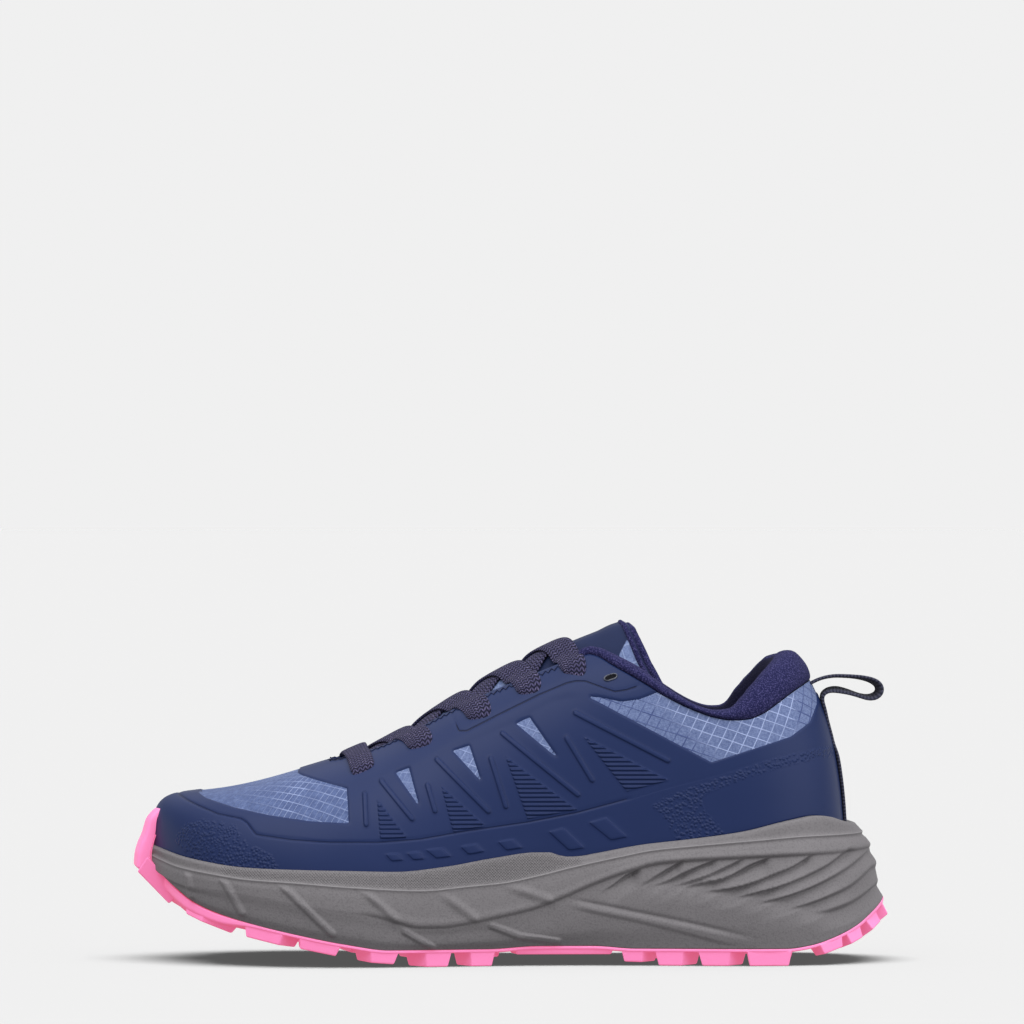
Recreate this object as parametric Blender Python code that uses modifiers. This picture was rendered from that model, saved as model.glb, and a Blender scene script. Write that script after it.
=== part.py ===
"""Left trail running shoe with a waterproof bootie, built from its last outwards.

Frame: the toe points to -X, the heel to +X, the outer (lateral) side to -Y, +Z is up.
Every number in the tables below is in millimetres.
"""
import math

import bpy
import bmesh
import numpy as np
from mathutils import Matrix, Vector

MM = 0.001
CENTRE = (0.767, 0.672, 0.0)

GAP = 0.35
WALL = 2.0
FILM = 0.9
FILM_GAP = 0.5
RIM_GAP = 0.45
INSOLE = 3.6
PLATE = 1.8
LUG = 4.1
BUMPER = 3.0
BUMPER_HALF = 14.0
BUMPER_TOP = 56.0
SIDE_COLUMNS = 31
CROWD = 0.4

# One row per station round the foot, heel to toe. x and the two half widths place the
# edge of the foot bed; the ridge columns place the top of the closed last; square is the
# exponent of the rounded section between the two.
LAST_COLUMNS = ("x", "lateral", "medial", "x_ridge", "y_ridge", "z_ridge", "square")
LAST_ROWS = (
    (122.5, 0.0, 0.0, 87.0, 0.0, 120.0, 2.2),
    (115.0, 20.5, 20.5, 84.0, 0.0, 120.0, 2.3),
    (98.0, 31.0, 30.5, 76.0, 0.0, 120.5, 2.6),
    (66.0, 33.0, 31.5, 58.0, 0.0, 121.0, 2.9),
    (33.0, 33.5, 30.5, 33.0, 0.0, 117.5, 3.0),
    (3.0, 36.0, 31.5, 8.0, 0.5, 107.8, 2.5),
    (-25.0, 40.5, 35.5, -18.0, 1.0, 94.8, 2.2),
    (-50.0, 44.0, 41.0, -44.0, 1.5, 80.4, 2.15),
    (-75.0, 44.0, 43.5, -66.0, 2.0, 72.8, 2.3),
    (-98.0, 37.5, 41.0, -84.0, 3.0, 67.8, 2.6),
    (-117.0, 25.0, 33.0, -97.0, 4.5, 64.4, 3.1),
    (-128.0, 9.0, 22.0, -102.0, 6.0, 63.4, 3.7),
    (-132.3, -7.0, 7.0, -104.0, 7.0, 63.0, 4.0),
)

# How far each line of the midsole wall stands out from the foot bed's edge.
WALL_COLUMNS = ("rim", "bead", "step", "belly", "bottom")
WALL_ROWS = (
    (6.0, 8.8, 12.4, 15.2, 15.0),
    (5.2, 7.4, 10.2, 12.4, 11.0),
    (4.4, 6.2, 8.0, 9.2, 7.0),
    (4.0, 5.6, 6.6, 7.0, 4.4),
    (3.8, 5.4, 6.2, 6.0, 2.2),
    (3.8, 5.4, 6.2, 5.2, 1.2),
    (3.8, 5.6, 6.2, 5.2, 2.2),
    (3.6, 5.6, 6.2, 5.4, 3.0),
    (3.6, 5.4, 6.0, 5.2, 3.0),
    (3.4, 5.0, 5.4, 4.6, 2.6),
    (3.0, 4.2, 4.4, 3.4, 1.4),
    (2.4, 3.0, 3.0, 1.6, -0.4),
    (2.0, 2.4, 2.2, 0.6, -1.4),
)

# Lines drawn in the side view: height against x.
GROUND_LINE = (
    (-136, 45), (-131, 34.5), (-126.6, 30), (-122, 26.3), (-117.7, 23.4), (-109, 19.7),
    (-95.4, 15.8), (-77.6, 11.8), (-60, 8.4), (-44, 6.25), (-8, 6.25), (10, 7.2), (30, 7.2),
    (46, 6.25), (101, 6.25), (110, 7.4), (118.5, 10), (127.4, 14.2), (132, 17.6), (136.5, 21.5),
    (140, 25.5),
)
BED_LINE = (
    (-140, 38), (-125, 35), (-105, 30.5), (-80, 26.8), (-45, 25.5), (0, 29), (60, 33.5), (122, 36),
    (140, 36),
)
RIM_LINE = (
    (-136, 43), (-126.6, 41), (-117.7, 38.6), (-108.8, 36.6), (-95.4, 34.9), (-77.6, 34.1), (-42, 33.4),
    (-28.6, 34.7), (-10.8, 37.4), (2.6, 39.6), (12.6, 40.5), (18.2, 39.7), (25.6, 39.3), (38.3, 41.6),
    (56, 44.3), (73.9, 46.9), (91.7, 49.8), (105, 53), (114, 53.6), (121, 51.6), (128, 50.5),
)
BEAD_LINE = (
    (-133, 38.6), (-120, 35), (-111, 33), (-95.4, 30.5), (-81, 29.4), (-59.8, 27.7), (-33.8, 26.5),
    (-16.7, 28), (-3.3, 29.4), (9.7, 31.9), (22.3, 35), (40, 38.9), (52, 41.2), (71, 43), (90, 44.7),
    (125, 46.4),
)
STEP_LINE = (
    (-133, 35.5), (-119.6, 29.8), (-101, 26), (-74, 21), (-44, 16.2), (-34, 13.8), (-20, 14.2), (-6, 17),
    (8, 20.3), (19, 24.3), (29, 28.7), (44, 33.8), (54, 36.4), (81, 38.5), (101, 39.6), (125, 41),
)
GUARD_LINE = (
    (-126, 72), (-122.5, 61), (-115, 57.3), (-106.7, 54), (-97.5, 52), (-93, 46.7), (-80, 44.8),
    (-66, 43.9), (-48.7, 43.9), (-33.3, 45.2), (-17.2, 48.1), (5.9, 51.6), (24.2, 55.1), (43.6, 60.4),
    (54, 61.5),
)
COUNTER_LINE = ((50, 57.7), (58, 62), (71.7, 66.5), (85.2, 71.6), (98.5, 76), (111.3, 78.9), (124, 80))
COLLAR_LINE = (
    (12, 125), (19, 113.5), (24, 111.9), (31.8, 111), (37, 108.6), (42.4, 105), (49, 101), (57, 96.4),
    (69, 91.5), (80.7, 88.6), (86.4, 89), (91.5, 90.8), (97, 94.7), (101.7, 98), (106.5, 101.4),
    (112, 103.6),
)
THROAT_LINE = ((-62, 0), (-59.5, 6), (-55, 10), (-40, 12.5), (0, 15.5), (14, 16.5), (30, 17))
COLLAR_ROLL = (
    (20, 3.4), (32, 4.2), (46, 4.2), (57, 3.2), (70, 3.2), (80.7, 5.2), (86, 9), (90, 11.8),
    (97, 13.6), (112, 13.8),
)
COLLAR_PAD = ((20, 3), (50, 3.4), (62, 5.5), (80, 8), (100, 11), (112, 13))
COLLAR_DROP = ((20, 6), (50, 8), (66, 22), (90, 32), (112, 36))

# Outlines cut out of the side film, as (x, z) corners seen from the side.
VAMP_WINDOW = (
    (-122, 80), (-117.2, 62), (-112, 59.6), (-101, 56.5), (-87, 53.6), (-73, 51.6), (-59.4, 50.9),
    (-59.8, 63.1), (-68.4, 65.5), (-75.4, 67.5), (-77.6, 69), (-78, 80),
)
ANKLE_WINDOW = (
    (27.1, 97.9), (73.4, 73.5), (102, 82.9), (107.6, 88), (109.6, 94.6), (109.4, 101), (108, 120),
    (66, 120), (52.7, 99), (47.2, 96.4), (40.6, 95.1), (32.6, 96),
)
TRIANGLES = (
    ((-42.1, 69.1), (-37.2, 70.9), (-33.7, 57.3)),
    ((-21.1, 77.2), (-15.1, 79.3), (-11.0, 66.4)),
    ((2.0, 87.3), (7.0, 89.6), (17.4, 74.7)),
)

EYELETS_X = (-54.0, -33.0, -12.0, 7.5, 21.0)
EYELET_INSET = 6.5
LACE_WIDTH = 8.0
LACE_THICK = 1.3

TONGUE_COLUMNS = ("x", "half width", "lift in the middle", "set-back of the edge", "thickness")
TONGUE_ROWS = (
    (-67, 14, 0.0, 0, 2.2),
    (-58, 17, 0.0, 0, 2.4),
    (-52, 20, 2.0, 0, 2.6),
    (-36, 22, 4.2, 0, 3.4),
    (-18, 23, 5.4, 0, 4.0),
    (0, 23.5, 6.0, 0, 4.6),
    (12, 22.5, 6.8, 2, 4.8),
    (22, 20.5, 7.0, 5, 5.0),
    (31, 19.5, 7.4, 9, 5.4),
    (37, 19, 8.6, 12, 5.6),
    (43, 18, 9.2, 14, 4.8),
)

# Lugs along both edges of the plate: x of the middle and length along the edge.
EDGE_LUGS = (
    (-122.5, 13.0), (-110.0, 12.5), (-89.0, 15.7), (-69.7, 15.7), (-49.0, 14.6), (-30.6, 15.0),
    (-13.5, 12.4), (46.8, 12.4), (61.1, 14.2), (77.6, 15.6), (94.6, 16.0), (112.0, 14.0), (124.5, 13.0),
)

LOOP_WIDTH = 11.0
LOOP_THICK = 1.3
LOOP_PATH = (
    (118.1, 91.6), (116.6, 96.0), (116.3, 98.4), (117.9, 99.8), (121.5, 100.0), (126.5, 98.6),
    (131.0, 96.7), (134.6, 96.0), (136.8, 97.4), (137.3, 99.6), (135.6, 102.2), (132.0, 104.2),
    (126.0, 105.2), (119.0, 105.4), (115.0, 105.0),
)

COLOURS = {
    "pink rubber": ((0.90, 0.20, 0.45), 0.55),
    "grey foam": ((0.19, 0.18, 0.19), 0.85),
    "blue ripstop": ((0.16, 0.21, 0.42), 0.7),
    "navy film": ((0.035, 0.05, 0.13), 0.5),
    "navy knit": ((0.035, 0.036, 0.10), 0.9),
    "navy lace": ((0.04, 0.04, 0.10), 0.85),
    "foot bed fabric": ((0.03, 0.03, 0.06), 0.9),
}


def line(rows):
    """Smooth function through (x, value) rows that never overshoots between them."""
    xs, ys = (np.array(c, float) for c in zip(*rows))
    step = np.diff(xs)
    slope = np.diff(ys) / step
    same = slope[:-1] * slope[1:] > 0
    weight_a = 2 * step[1:] + step[:-1]
    weight_b = step[1:] + 2 * step[:-1]
    safe_a = np.where(same, slope[:-1], 1.0)
    safe_b = np.where(same, slope[1:], 1.0)
    inner = np.where(same, (weight_a + weight_b) / (weight_a / safe_a + weight_b / safe_b), 0.0)
    tangent = np.concatenate([[slope[0]], inner, [slope[-1]]])

    def value(x):
        x = np.clip(np.asarray(x, float), xs[0], xs[-1])
        i = np.clip(np.searchsorted(xs, x, side="right") - 1, 0, len(step) - 1)
        t = (x - xs[i]) / step[i]
        keep = (1 + 2 * t) * (1 - t) ** 2 * ys[i] + t * t * (3 - 2 * t) * ys[i + 1]
        turn = t * (1 - t) ** 2 * tangent[i] + t * t * (t - 1) * tangent[i + 1]
        return keep + step[i] * turn

    return value


def closed_spline(knots, values, period):
    """Cubic curve through periodic values at the given knots."""
    n = len(knots)
    step = np.diff(np.append(knots, knots[0] + period))
    slope = np.diff(np.append(values, values[0])) / step
    matrix = np.zeros((n, n))
    right = np.zeros(n)
    for i in range(n):
        before = step[i - 1]
        after = step[i]
        matrix[i, i - 1] += after
        matrix[i, i] += 2 * (before + after)
        matrix[i, (i + 1) % n] += before
        right[i] = 3 * (after * slope[i - 1] + before * slope[i])
    tangent = np.linalg.solve(matrix, right)

    def value(w):
        w = np.mod(np.asarray(w, float), period)
        i = np.searchsorted(knots, w, side="right") - 1
        j = (i + 1) % n
        t = (w - knots[i]) / step[i]
        keep = (1 + 2 * t) * (1 - t) ** 2 * values[i] + t * t * (3 - 2 * t) * values[j]
        turn = t * (1 - t) ** 2 * tangent[i] + t * t * (t - 1) * tangent[j]
        return keep + step[i] * turn

    return value


ground_z = line(GROUND_LINE)
bed_z = line(BED_LINE)
rim_z = line(RIM_LINE)
bead_z = line(BEAD_LINE)
step_z = line(STEP_LINE)
guard_z = line(GUARD_LINE)
counter_z = line(COUNTER_LINE)
collar_z = line(COLLAR_LINE)
throat_half = line(THROAT_LINE)
roll_height = line(COLLAR_ROLL)
pad_depth = line(COLLAR_PAD)
lining_drop = line(COLLAR_DROP)

rows = np.array(LAST_ROWS)
chord_lateral = np.hypot(np.diff(rows[:, 0]), np.diff(rows[:, 1]))
chord_medial = np.hypot(np.diff(rows[:, 0]), np.diff(rows[:, 2]))
half_knots = np.concatenate([[0.0], np.cumsum((chord_lateral + chord_medial) / 2)])
HALF = half_knots[-1]
PERIOD = 2 * HALF
ring_knots = np.concatenate([half_knots, PERIOD - half_knots[-2:0:-1]])


def ring(lateral, medial):
    """Periodic spline with the lateral rows first and the medial rows coming back."""
    return closed_spline(ring_knots, np.concatenate([lateral, np.asarray(medial)[-2:0:-1]]), PERIOD)


edge_x = ring(rows[:, 0], rows[:, 0])
edge_y = ring(-rows[:, 1], rows[:, 2])
ridge_x = ring(rows[:, 3], rows[:, 3])
ridge_y = ring(rows[:, 4], rows[:, 4])
ridge_z = ring(rows[:, 5], rows[:, 5])
square = ring(rows[:, 6], rows[:, 6])
wall_out = {name: ring(column, column) for name, column in zip(WALL_COLUMNS, np.array(WALL_ROWS).T)}
lap = np.linspace(0.0, 2.0, 2 * SIDE_COLUMNS, endpoint=False)
columns = HALF * (lap - CROWD * np.sin(2 * math.pi * lap) / (2 * math.pi))


def edge_normal(w):
    """Outward direction in plan at the edge of the foot bed."""
    h = 0.5
    tx = edge_x(w + h) - edge_x(w - h)
    ty = edge_y(w + h) - edge_y(w - h)
    size = np.hypot(tx, ty)
    return -ty / size, tx / size


def edge_point(w, out, z):
    """Point at a distance out from the foot bed's edge, at height z."""
    nx, ny = edge_normal(w)
    return np.stack([edge_x(w) + out * nx, edge_y(w) + out * ny, np.broadcast_to(z, np.shape(w))], -1)


def last_point(w, turn):
    """Point of the closed last: turn 0 is the foot bed's edge, turn 1 the ridge."""
    w, turn = np.broadcast_arrays(np.asarray(w, float), np.asarray(turn, float))
    angle = np.clip(turn, 0.0, 1.0) * math.pi / 2
    power = 2.0 / square(w)
    across = 1.0 - np.cos(angle).clip(0.0) ** power
    rise = np.sin(angle) ** power
    bx, by = edge_x(w), edge_y(w)
    bz = bed_z(bx) + GAP
    x = bx + (ridge_x(w) - bx) * across
    y = by + (ridge_y(w) - by) * across
    z = bz + (ridge_z(w) - bz) * rise
    return np.stack([x, y, z], -1)


TURNS = np.concatenate([
    np.linspace(0, 0.04, 9)[:-1], np.linspace(0.04, 0.96, 130), np.linspace(0.96, 1, 13)[1:],
])


def section(w):
    """One section of the last as a fine polyline with its running measure.

    The measure is the length along the section, shared with the turn so that rows crowd
    where the section bends most.
    """
    points = last_point(w, TURNS)
    length = np.concatenate([[0.0], np.cumsum(np.linalg.norm(np.diff(points, axis=0), axis=1))])
    bend = min(max((80.0 - ridge_z(w)) / 15.0, 0.0), 1.0) * 0.5
    return points, (1 - bend) * length + bend * TURNS * length[-1]


def reach(points, length, field):
    """Running length at which a field over the section first turns positive."""
    value = field(points)
    above = np.nonzero(value > 0)[0]
    if len(above) == 0:
        return length[-1]
    i = above[0]
    if i == 0:
        return 0.0
    t = -value[i - 1] / (value[i] - value[i - 1])
    return length[i - 1] + t * (length[i] - length[i - 1])


def at_length(points, length, s):
    """Points of a section at running lengths s."""
    return np.stack([np.interp(s, length, points[:, k]) for k in range(3)], -1)


def opening(points):
    """Positive inside the throat and above the collar line."""
    x, y, z = points.T
    middle = np.interp(x, rows[::-1, 3], rows[::-1, 4])
    throat = np.where((x > -62) & (x < 34), throat_half(x) - np.abs(y - middle), -1.0)
    throat = np.where(z > 60, throat, -1.0)
    collar = np.where(x > 14, z - collar_z(x), -1.0)
    return np.maximum(throat, collar)


def above(height):
    """Field that is positive above a side-view line."""
    return lambda points: points[:, 2] - height(points[:, 0])


def section_patch(ws, low_field, high_field, count, low_add=0.0, high_add=0.0):
    """Grid of last points between two lines, count + 1 rows for every column."""
    grid = []
    for w in ws:
        points, length = section(w)
        low = 0.0 if low_field is None else reach(points, length, low_field) + low_add
        top = reach(points, length, opening)
        high = top if high_field is None else min(reach(points, length, high_field) + high_add, top)
        high = max(high, low + 0.5)
        grid.append(at_length(points, length, np.linspace(low, high, count + 1)))
    return np.array(grid)


def offset_height(depth):
    """Height of the last, moved inwards by depth, as a function of x and y."""
    turns = np.linspace(0.02, 1.0, 60)
    side = np.linspace(0.0, HALF, 140)
    h = 0.3

    def half(ws):
        w, t = np.meshgrid(ws, turns, indexing="ij")
        along = last_point(w + h, t) - last_point(w - h, t)
        t_low = np.clip(t - 0.004, 0, 1)
        up = last_point(w, np.clip(t + 0.004, 0, 1)) - last_point(w, t_low)
        normal = np.cross(up, along)
        normal /= np.linalg.norm(normal, axis=-1, keepdims=True)
        return last_point(w, t) - depth * normal

    lateral, medial = half(side), half(PERIOD - side)

    def height(x, y):
        ys, zs = [], []
        for cloud, order in ((lateral, 1), (medial, -1)):
            for j in range(len(turns))[::order]:
                xs = cloud[::-1, j, 0]
                ys.append(np.interp(x, xs, cloud[::-1, j, 1]))
                zs.append(np.interp(x, xs, cloud[::-1, j, 2]))
        ys, zs = np.array(ys), np.array(zs)
        keep = np.argsort(ys)
        return np.interp(y, ys[keep], zs[keep])

    return height


for item in list(bpy.data.objects):
    bpy.data.objects.remove(item, do_unlink=True)


def collection(name):
    made = bpy.data.collections.new(name)
    bpy.context.scene.collection.children.link(made)
    return made


SHOE = collection("waterproof_sneaker")
CUTTERS = collection("cutters")


def material(name):
    (red, green, blue), rough = COLOURS[name]
    made = bpy.data.materials.get(name) or bpy.data.materials.new(name)
    made.use_nodes = True
    shader = made.node_tree.nodes["Principled BSDF"]
    shader.inputs["Base Color"].default_value = (red, green, blue, 1.0)
    shader.inputs["Roughness"].default_value = rough
    shader.inputs["Metallic"].default_value = 0.0
    return made


def add_object(name, bm, colour, home=SHOE):
    bmesh.ops.recalc_face_normals(bm, faces=bm.faces)
    mesh = bpy.data.meshes.new(name)
    bm.to_mesh(mesh)
    bm.free()
    made = bpy.data.objects.new(name, mesh)
    home.objects.link(made)
    if colour:
        mesh.materials.append(material(colour))
    if home is CUTTERS:
        made.hide_render = True
        made.display_type = "WIRE"
    return made


def grid_mesh(grid, close=False, weld=0.02):
    """Surface through a grid of points in mm; close joins the last column to the first."""
    bm = bmesh.new()
    n, m = grid.shape[:2]
    verts = [[bm.verts.new(Vector(p) * MM) for p in column] for column in grid]
    for i in range(n if close else n - 1):
        a, b = verts[i], verts[(i + 1) % n]
        for j in range(m - 1):
            bm.faces.new((a[j], b[j], b[j + 1], a[j + 1]))
    bmesh.ops.remove_doubles(bm, verts=bm.verts, dist=weld * MM)
    bmesh.ops.dissolve_degenerate(bm, dist=0.00001, edges=bm.edges)
    bmesh.ops.recalc_face_normals(bm, faces=bm.faces)
    return bm


def shell(name, grid, colour, out, thick, close=False, weld=0.02):
    """Open surface pushed outwards by out and given a thickness outwards."""
    bm = grid_mesh(grid, close, weld)
    middle = sum((v.co for v in bm.verts), Vector()) / len(bm.verts)
    lean = sum(f.normal.dot(f.calc_center_median() - middle) * f.calc_area() for f in bm.faces)
    if lean < 0:
        bmesh.ops.reverse_faces(bm, faces=bm.faces)
    bm.normal_update()
    for v in bm.verts:
        v.co += v.normal * out * MM
    mesh = bpy.data.meshes.new(name)
    bm.to_mesh(mesh)
    bm.free()
    made = bpy.data.objects.new(name, mesh)
    SHOE.objects.link(made)
    mesh.materials.append(material(colour))
    skin = made.modifiers.new("thickness", "SOLIDIFY")
    skin.thickness = abs(thick) * MM
    skin.offset = 1.0 if thick > 0 else -1.0
    return made


def boolean(target, cutter, kind):
    step = target.modifiers.new(kind.lower(), "BOOLEAN")
    step.operation = kind
    step.solver = "EXACT"
    step.object = cutter


def prism(name, outline, depth=70.0):
    """Cutter with an outline in the side view that runs across the whole shoe."""
    bm = bmesh.new()
    face = bm.faces.new([bm.verts.new((x * MM, -depth * MM, z * MM)) for x, z in outline])
    swept = bmesh.ops.extrude_face_region(bm, geom=[face])
    moved = [g for g in swept["geom"] if isinstance(g, bmesh.types.BMVert)]
    bmesh.ops.translate(bm, verts=moved, vec=(0, 2 * depth * MM, 0))
    return add_object(name, bm, None, CUTTERS)


def spine(w):
    """Point on the middle line under column w."""
    x = 0.8 * edge_x(w)
    y = 0.5 * (edge_y(w) + edge_y(PERIOD - w)) * 0.8
    return x, y


def floor_rows(w, edge, height, parts):
    """Rows that fill a level outline inwards to the middle line, edge row left out."""
    sx, sy = spine(w)
    found = []
    for t in parts:
        x = sx + (edge[:, 0] - sx) * t
        y = sy + (edge[:, 1] - sy) * t
        found.append(np.stack([x, y, height(x)], -1))
    return found


def fins(x, z, w):
    """Slanted waves that stand out of the heel wall, in mm."""
    arc = np.where(w < HALF, w, PERIOD - w)
    fade = np.clip((x - 50) / 35, 0, 1)
    wave = np.sin(2 * math.pi * (z + 0.42 * arc) / 8.2)
    return 1.2 * fade * wave


def build_midsole():
    w = columns
    bx = edge_x(w)
    bottom = edge_point(w, wall_out["bottom"](w), 0.0)
    bottom[:, 2] = ground_z(bottom[:, 0])
    levels = floor_rows(w, bottom, ground_z, (0.0, 0.55)) + [bottom]
    low, step, bead, rim = bottom[:, 2], step_z(bx), bead_z(bx), rim_z(bx)
    step = np.maximum(step, low + 2.5)
    count = 7
    for i in range(1, count):
        t = i / count
        z = low + (step - 0.8 - low) * t
        bulge = math.sin(math.pi * min(t * 1.1, 1.0) / 2)
        out = wall_out["bottom"](w) + (wall_out["belly"](w) - wall_out["bottom"](w)) * bulge
        fade = math.sin(math.pi * t)
        levels.append(edge_point(w, out + fins(bx, z, w) * fade, z))
    levels.append(edge_point(w, wall_out["step"](w) - 0.8, step - 0.8))
    levels.append(edge_point(w, wall_out["step"](w) + 0.4, step))
    levels.append(edge_point(w, wall_out["bead"](w), bead - 0.9))
    levels.append(edge_point(w, wall_out["bead"](w) + 0.5, bead))
    levels.append(edge_point(w, wall_out["bead"](w) - 0.3, bead + 0.8))
    levels.append(edge_point(w, wall_out["rim"](w), rim))
    cup = section_patch(w, above(lambda x: bed_z(x) + GAP), above(rim_z), 2)
    nx, ny = edge_normal(w)
    side = np.stack([nx, ny, np.zeros_like(nx)], -1) * RIM_GAP
    levels += [cup[:, 2] + side, cup[:, 1] + side]
    floor = cup[:, 0] + side
    floor[:, 2] = bed_z(floor[:, 0])
    levels.append(floor)
    levels += floor_rows(w, floor, bed_z, (0.55, 0.0))
    bm = grid_mesh(np.stack(levels, 1), close=True)
    return add_object("midsole", bm, "grey foam")


def build_insole():
    w = columns[::2]
    edge = edge_point(w, -(WALL + 2 * GAP + 0.3), 0.0)
    low = edge.copy()
    low[:, 2] = bed_z(edge[:, 0]) + GAP
    high = edge_point(w, -(WALL + 2 * GAP + 0.8), 0.0)
    high[:, 2] = bed_z(high[:, 0]) + GAP + INSOLE + 0.8

    def under(x):
        return bed_z(x) + GAP

    def over(x):
        return bed_z(x) + GAP + INSOLE

    levels = floor_rows(w, low, under, (0.0, 0.55)) + [low, high]
    levels += floor_rows(w, high, over, (0.85, 0.5, 0.0))
    return add_object("insole", grid_mesh(np.stack(levels, 1), close=True), "foot bed fabric")


def lug(x, y, length, width, turn, tall=LUG):
    """Tapered block under the plate, its foot parallel to the plate."""
    slope = math.atan2(float(ground_z(x + 1) - ground_z(x - 1)), 2.0)
    root = float(ground_z(x)) - GAP - PLATE
    made = bmesh.new()
    bmesh.ops.create_cube(made, size=1.0)
    for v in made.verts:
        taper = 1.0 if v.co.z > 0 else 0.8
        v.co.x *= length * taper
        v.co.y *= width * taper
        v.co.z = 0.9 if v.co.z > 0 else -tall
    tilt = Matrix.Rotation(-slope, 4, "Y") @ Matrix.Rotation(turn, 4, "Z")
    made.transform(Matrix.Translation((x, y, root)) @ tilt)
    for v in made.verts:
        v.co.z = max(v.co.z, 0.0)
    return made


def build_outsole():
    w = columns
    edge = edge_point(w, wall_out["bottom"](w), 0.0)
    top = edge.copy()
    top[:, 2] = ground_z(top[:, 0]) - GAP
    slope = (ground_z(edge[:, 0] + 1) - ground_z(edge[:, 0] - 1)) / 2
    tall = PLATE * np.sqrt(1 + np.minimum(slope * slope, 3.0))
    low = edge_point(w, wall_out["bottom"](w) - 0.2, 0.0)
    low[:, 2] = top[:, 2] - tall

    def over(x):
        return ground_z(x) - GAP

    def under(x):
        return ground_z(x) - GAP - PLATE

    levels = floor_rows(w, top, over, (0.0, 0.55)) + [top, low] + floor_rows(w, low, under, (0.55, 0.0))
    plate = add_object("outsole", grid_mesh(np.stack(levels, 1), close=True), "pink rubber")
    blocks = bmesh.new()
    for piece in lug_layout():
        shape = bpy.data.meshes.new("lug")
        piece.transform(Matrix.Scale(MM, 4))
        piece.to_mesh(shape)
        piece.free()
        blocks.from_mesh(shape)
        bpy.data.meshes.remove(shape)
    lugs = add_object("lug_blocks", blocks, None, CUTTERS)
    boolean(plate, lugs, "UNION")
    boolean(plate, build_bumper(), "UNION")
    return plate


def lug_layout():
    """Edge lugs down both sides, one at the back of the heel, and two rows inside."""
    pieces = [lug(float(edge_x(0.0)) + 9.0, 0.0, 12.0, 15.0, 0.0)]
    half = np.linspace(4.0, HALF - 4.0, 600)
    for w in (half, PERIOD - half):
        path = edge_point(w, wall_out["bottom"](w) - 5.6, 0.0)[::-1]
        for x, length in EDGE_LUGS:
            y, yb = (float(np.interp(q, path[:, 0], path[:, 1])) for q in (x - 1, x + 1))
            pieces.append(lug(x, (y + yb) / 2, length, 11.0, math.atan2(yb - y, 2.0)))
    for x in (-100.0, -78.0, -56.0, -34.0, -12.0):
        for y, turn in ((-13.0, 0.5), (13.0, -0.5)):
            pieces.append(lug(x, y + 2.0, 14.0, 11.0, turn))
    for x in (56.0, 77.0, 98.0):
        for y, turn in ((-9.0, 0.5), (9.0, -0.5)):
            pieces.append(lug(x, y, 11.0, 9.0, turn))
    return pieces


def build_bumper():
    """Rubber tab that rises from the plate in front of the toe."""
    across = np.linspace(-1, 1, 11)
    w = HALF + across * BUMPER_HALF
    root = edge_point(w, wall_out["bottom"](w) - 2.2, 0.0)
    root[:, 2] = ground_z(root[:, 0]) - GAP - 1.0
    low = edge_point(w, wall_out["bottom"](w) + GAP + 0.3, 0.0)
    low[:, 2] = ground_z(edge_point(w, wall_out["bottom"](w), 0.0)[:, 0]) - 0.6
    belly = edge_point(w, wall_out["step"](w) + GAP + 0.5, step_z(edge_x(w)))
    bead = edge_point(w, wall_out["bead"](w) + GAP + 0.6, bead_z(edge_x(w)))
    rim = edge_point(w, wall_out["rim"](w) + GAP + 0.4, rim_z(edge_x(w)) + 0.4)
    skin = section_patch(w, above(lambda x: x * 0 + 47.0), above(lambda x: x * 0 + BUMPER_TOP), 2)
    nx, ny = edge_normal(w)
    out = np.stack([nx, ny, np.zeros_like(nx)], -1) * (FILM + FILM_GAP + GAP)
    inner = np.stack([root, low, belly, bead, rim, skin[:, 0] + out, skin[:, 1] + out, skin[:, 2] + out], 1)
    swell = np.array([1.2, 1.5, 1.6, 1.45, 1.3, 1.2, 1.1, 0.75]) * BUMPER
    outer = inner + np.stack([nx, ny, np.zeros_like(nx)], -1)[:, None, :] * swell[None, :, None]
    loop = np.concatenate([inner, outer[:, ::-1], inner[:, :1]], 1)
    bm = grid_mesh(loop)
    bmesh.ops.holes_fill(bm, edges=bm.edges, sides=0)
    return add_object("toe_bumper", bm, None, CUTTERS)


def build_upper():
    grid = section_patch(columns, None, None, 7)
    return shell("upper", grid, "blue ripstop", 0.0, -WALL, close=True)


def round_heel(ends):
    """Columns from the medial column at ends, round the heel, to the lateral one."""
    medial = columns[columns >= PERIOD - ends - 0.01] - PERIOD
    return np.concatenate([medial, columns[columns <= ends + 0.01]])


def build_films():
    heel_w = [w for w in columns if edge_x(w) > 54 and w < HALF]
    ends = max(heel_w)
    counter = section_patch(round_heel(ends), above(lambda x: rim_z(x) + 0.5), above(counter_z), 2)
    shell("heel_counter", counter, "navy film", FILM_GAP, FILM)
    between = columns[(columns > ends + 1) & (columns < PERIOD - ends - 1)]
    front = np.concatenate([[ends + 0.5], between, [PERIOD - ends - 0.5]])
    guard = section_patch(front, above(lambda x: rim_z(x) + 0.5), above(guard_z), 3)
    shell("toe_guard", guard, "navy film", FILM_GAP, FILM)

    def split(x):
        return np.where(x < 52, guard_z(x), counter_z(x))

    cage = section_patch(columns, above(split), None, 5, low_add=0.5)
    film = shell("side_cage", cage, "navy film", FILM_GAP + 0.25, FILM, close=True)
    boolean(film, prism("vamp_window", VAMP_WINDOW), "DIFFERENCE")
    boolean(film, prism("ankle_window", ANKLE_WINDOW), "DIFFERENCE")
    for i, corners in enumerate(TRIANGLES):
        boolean(film, prism("window_%d" % (i + 1), corners), "DIFFERENCE")


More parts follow.
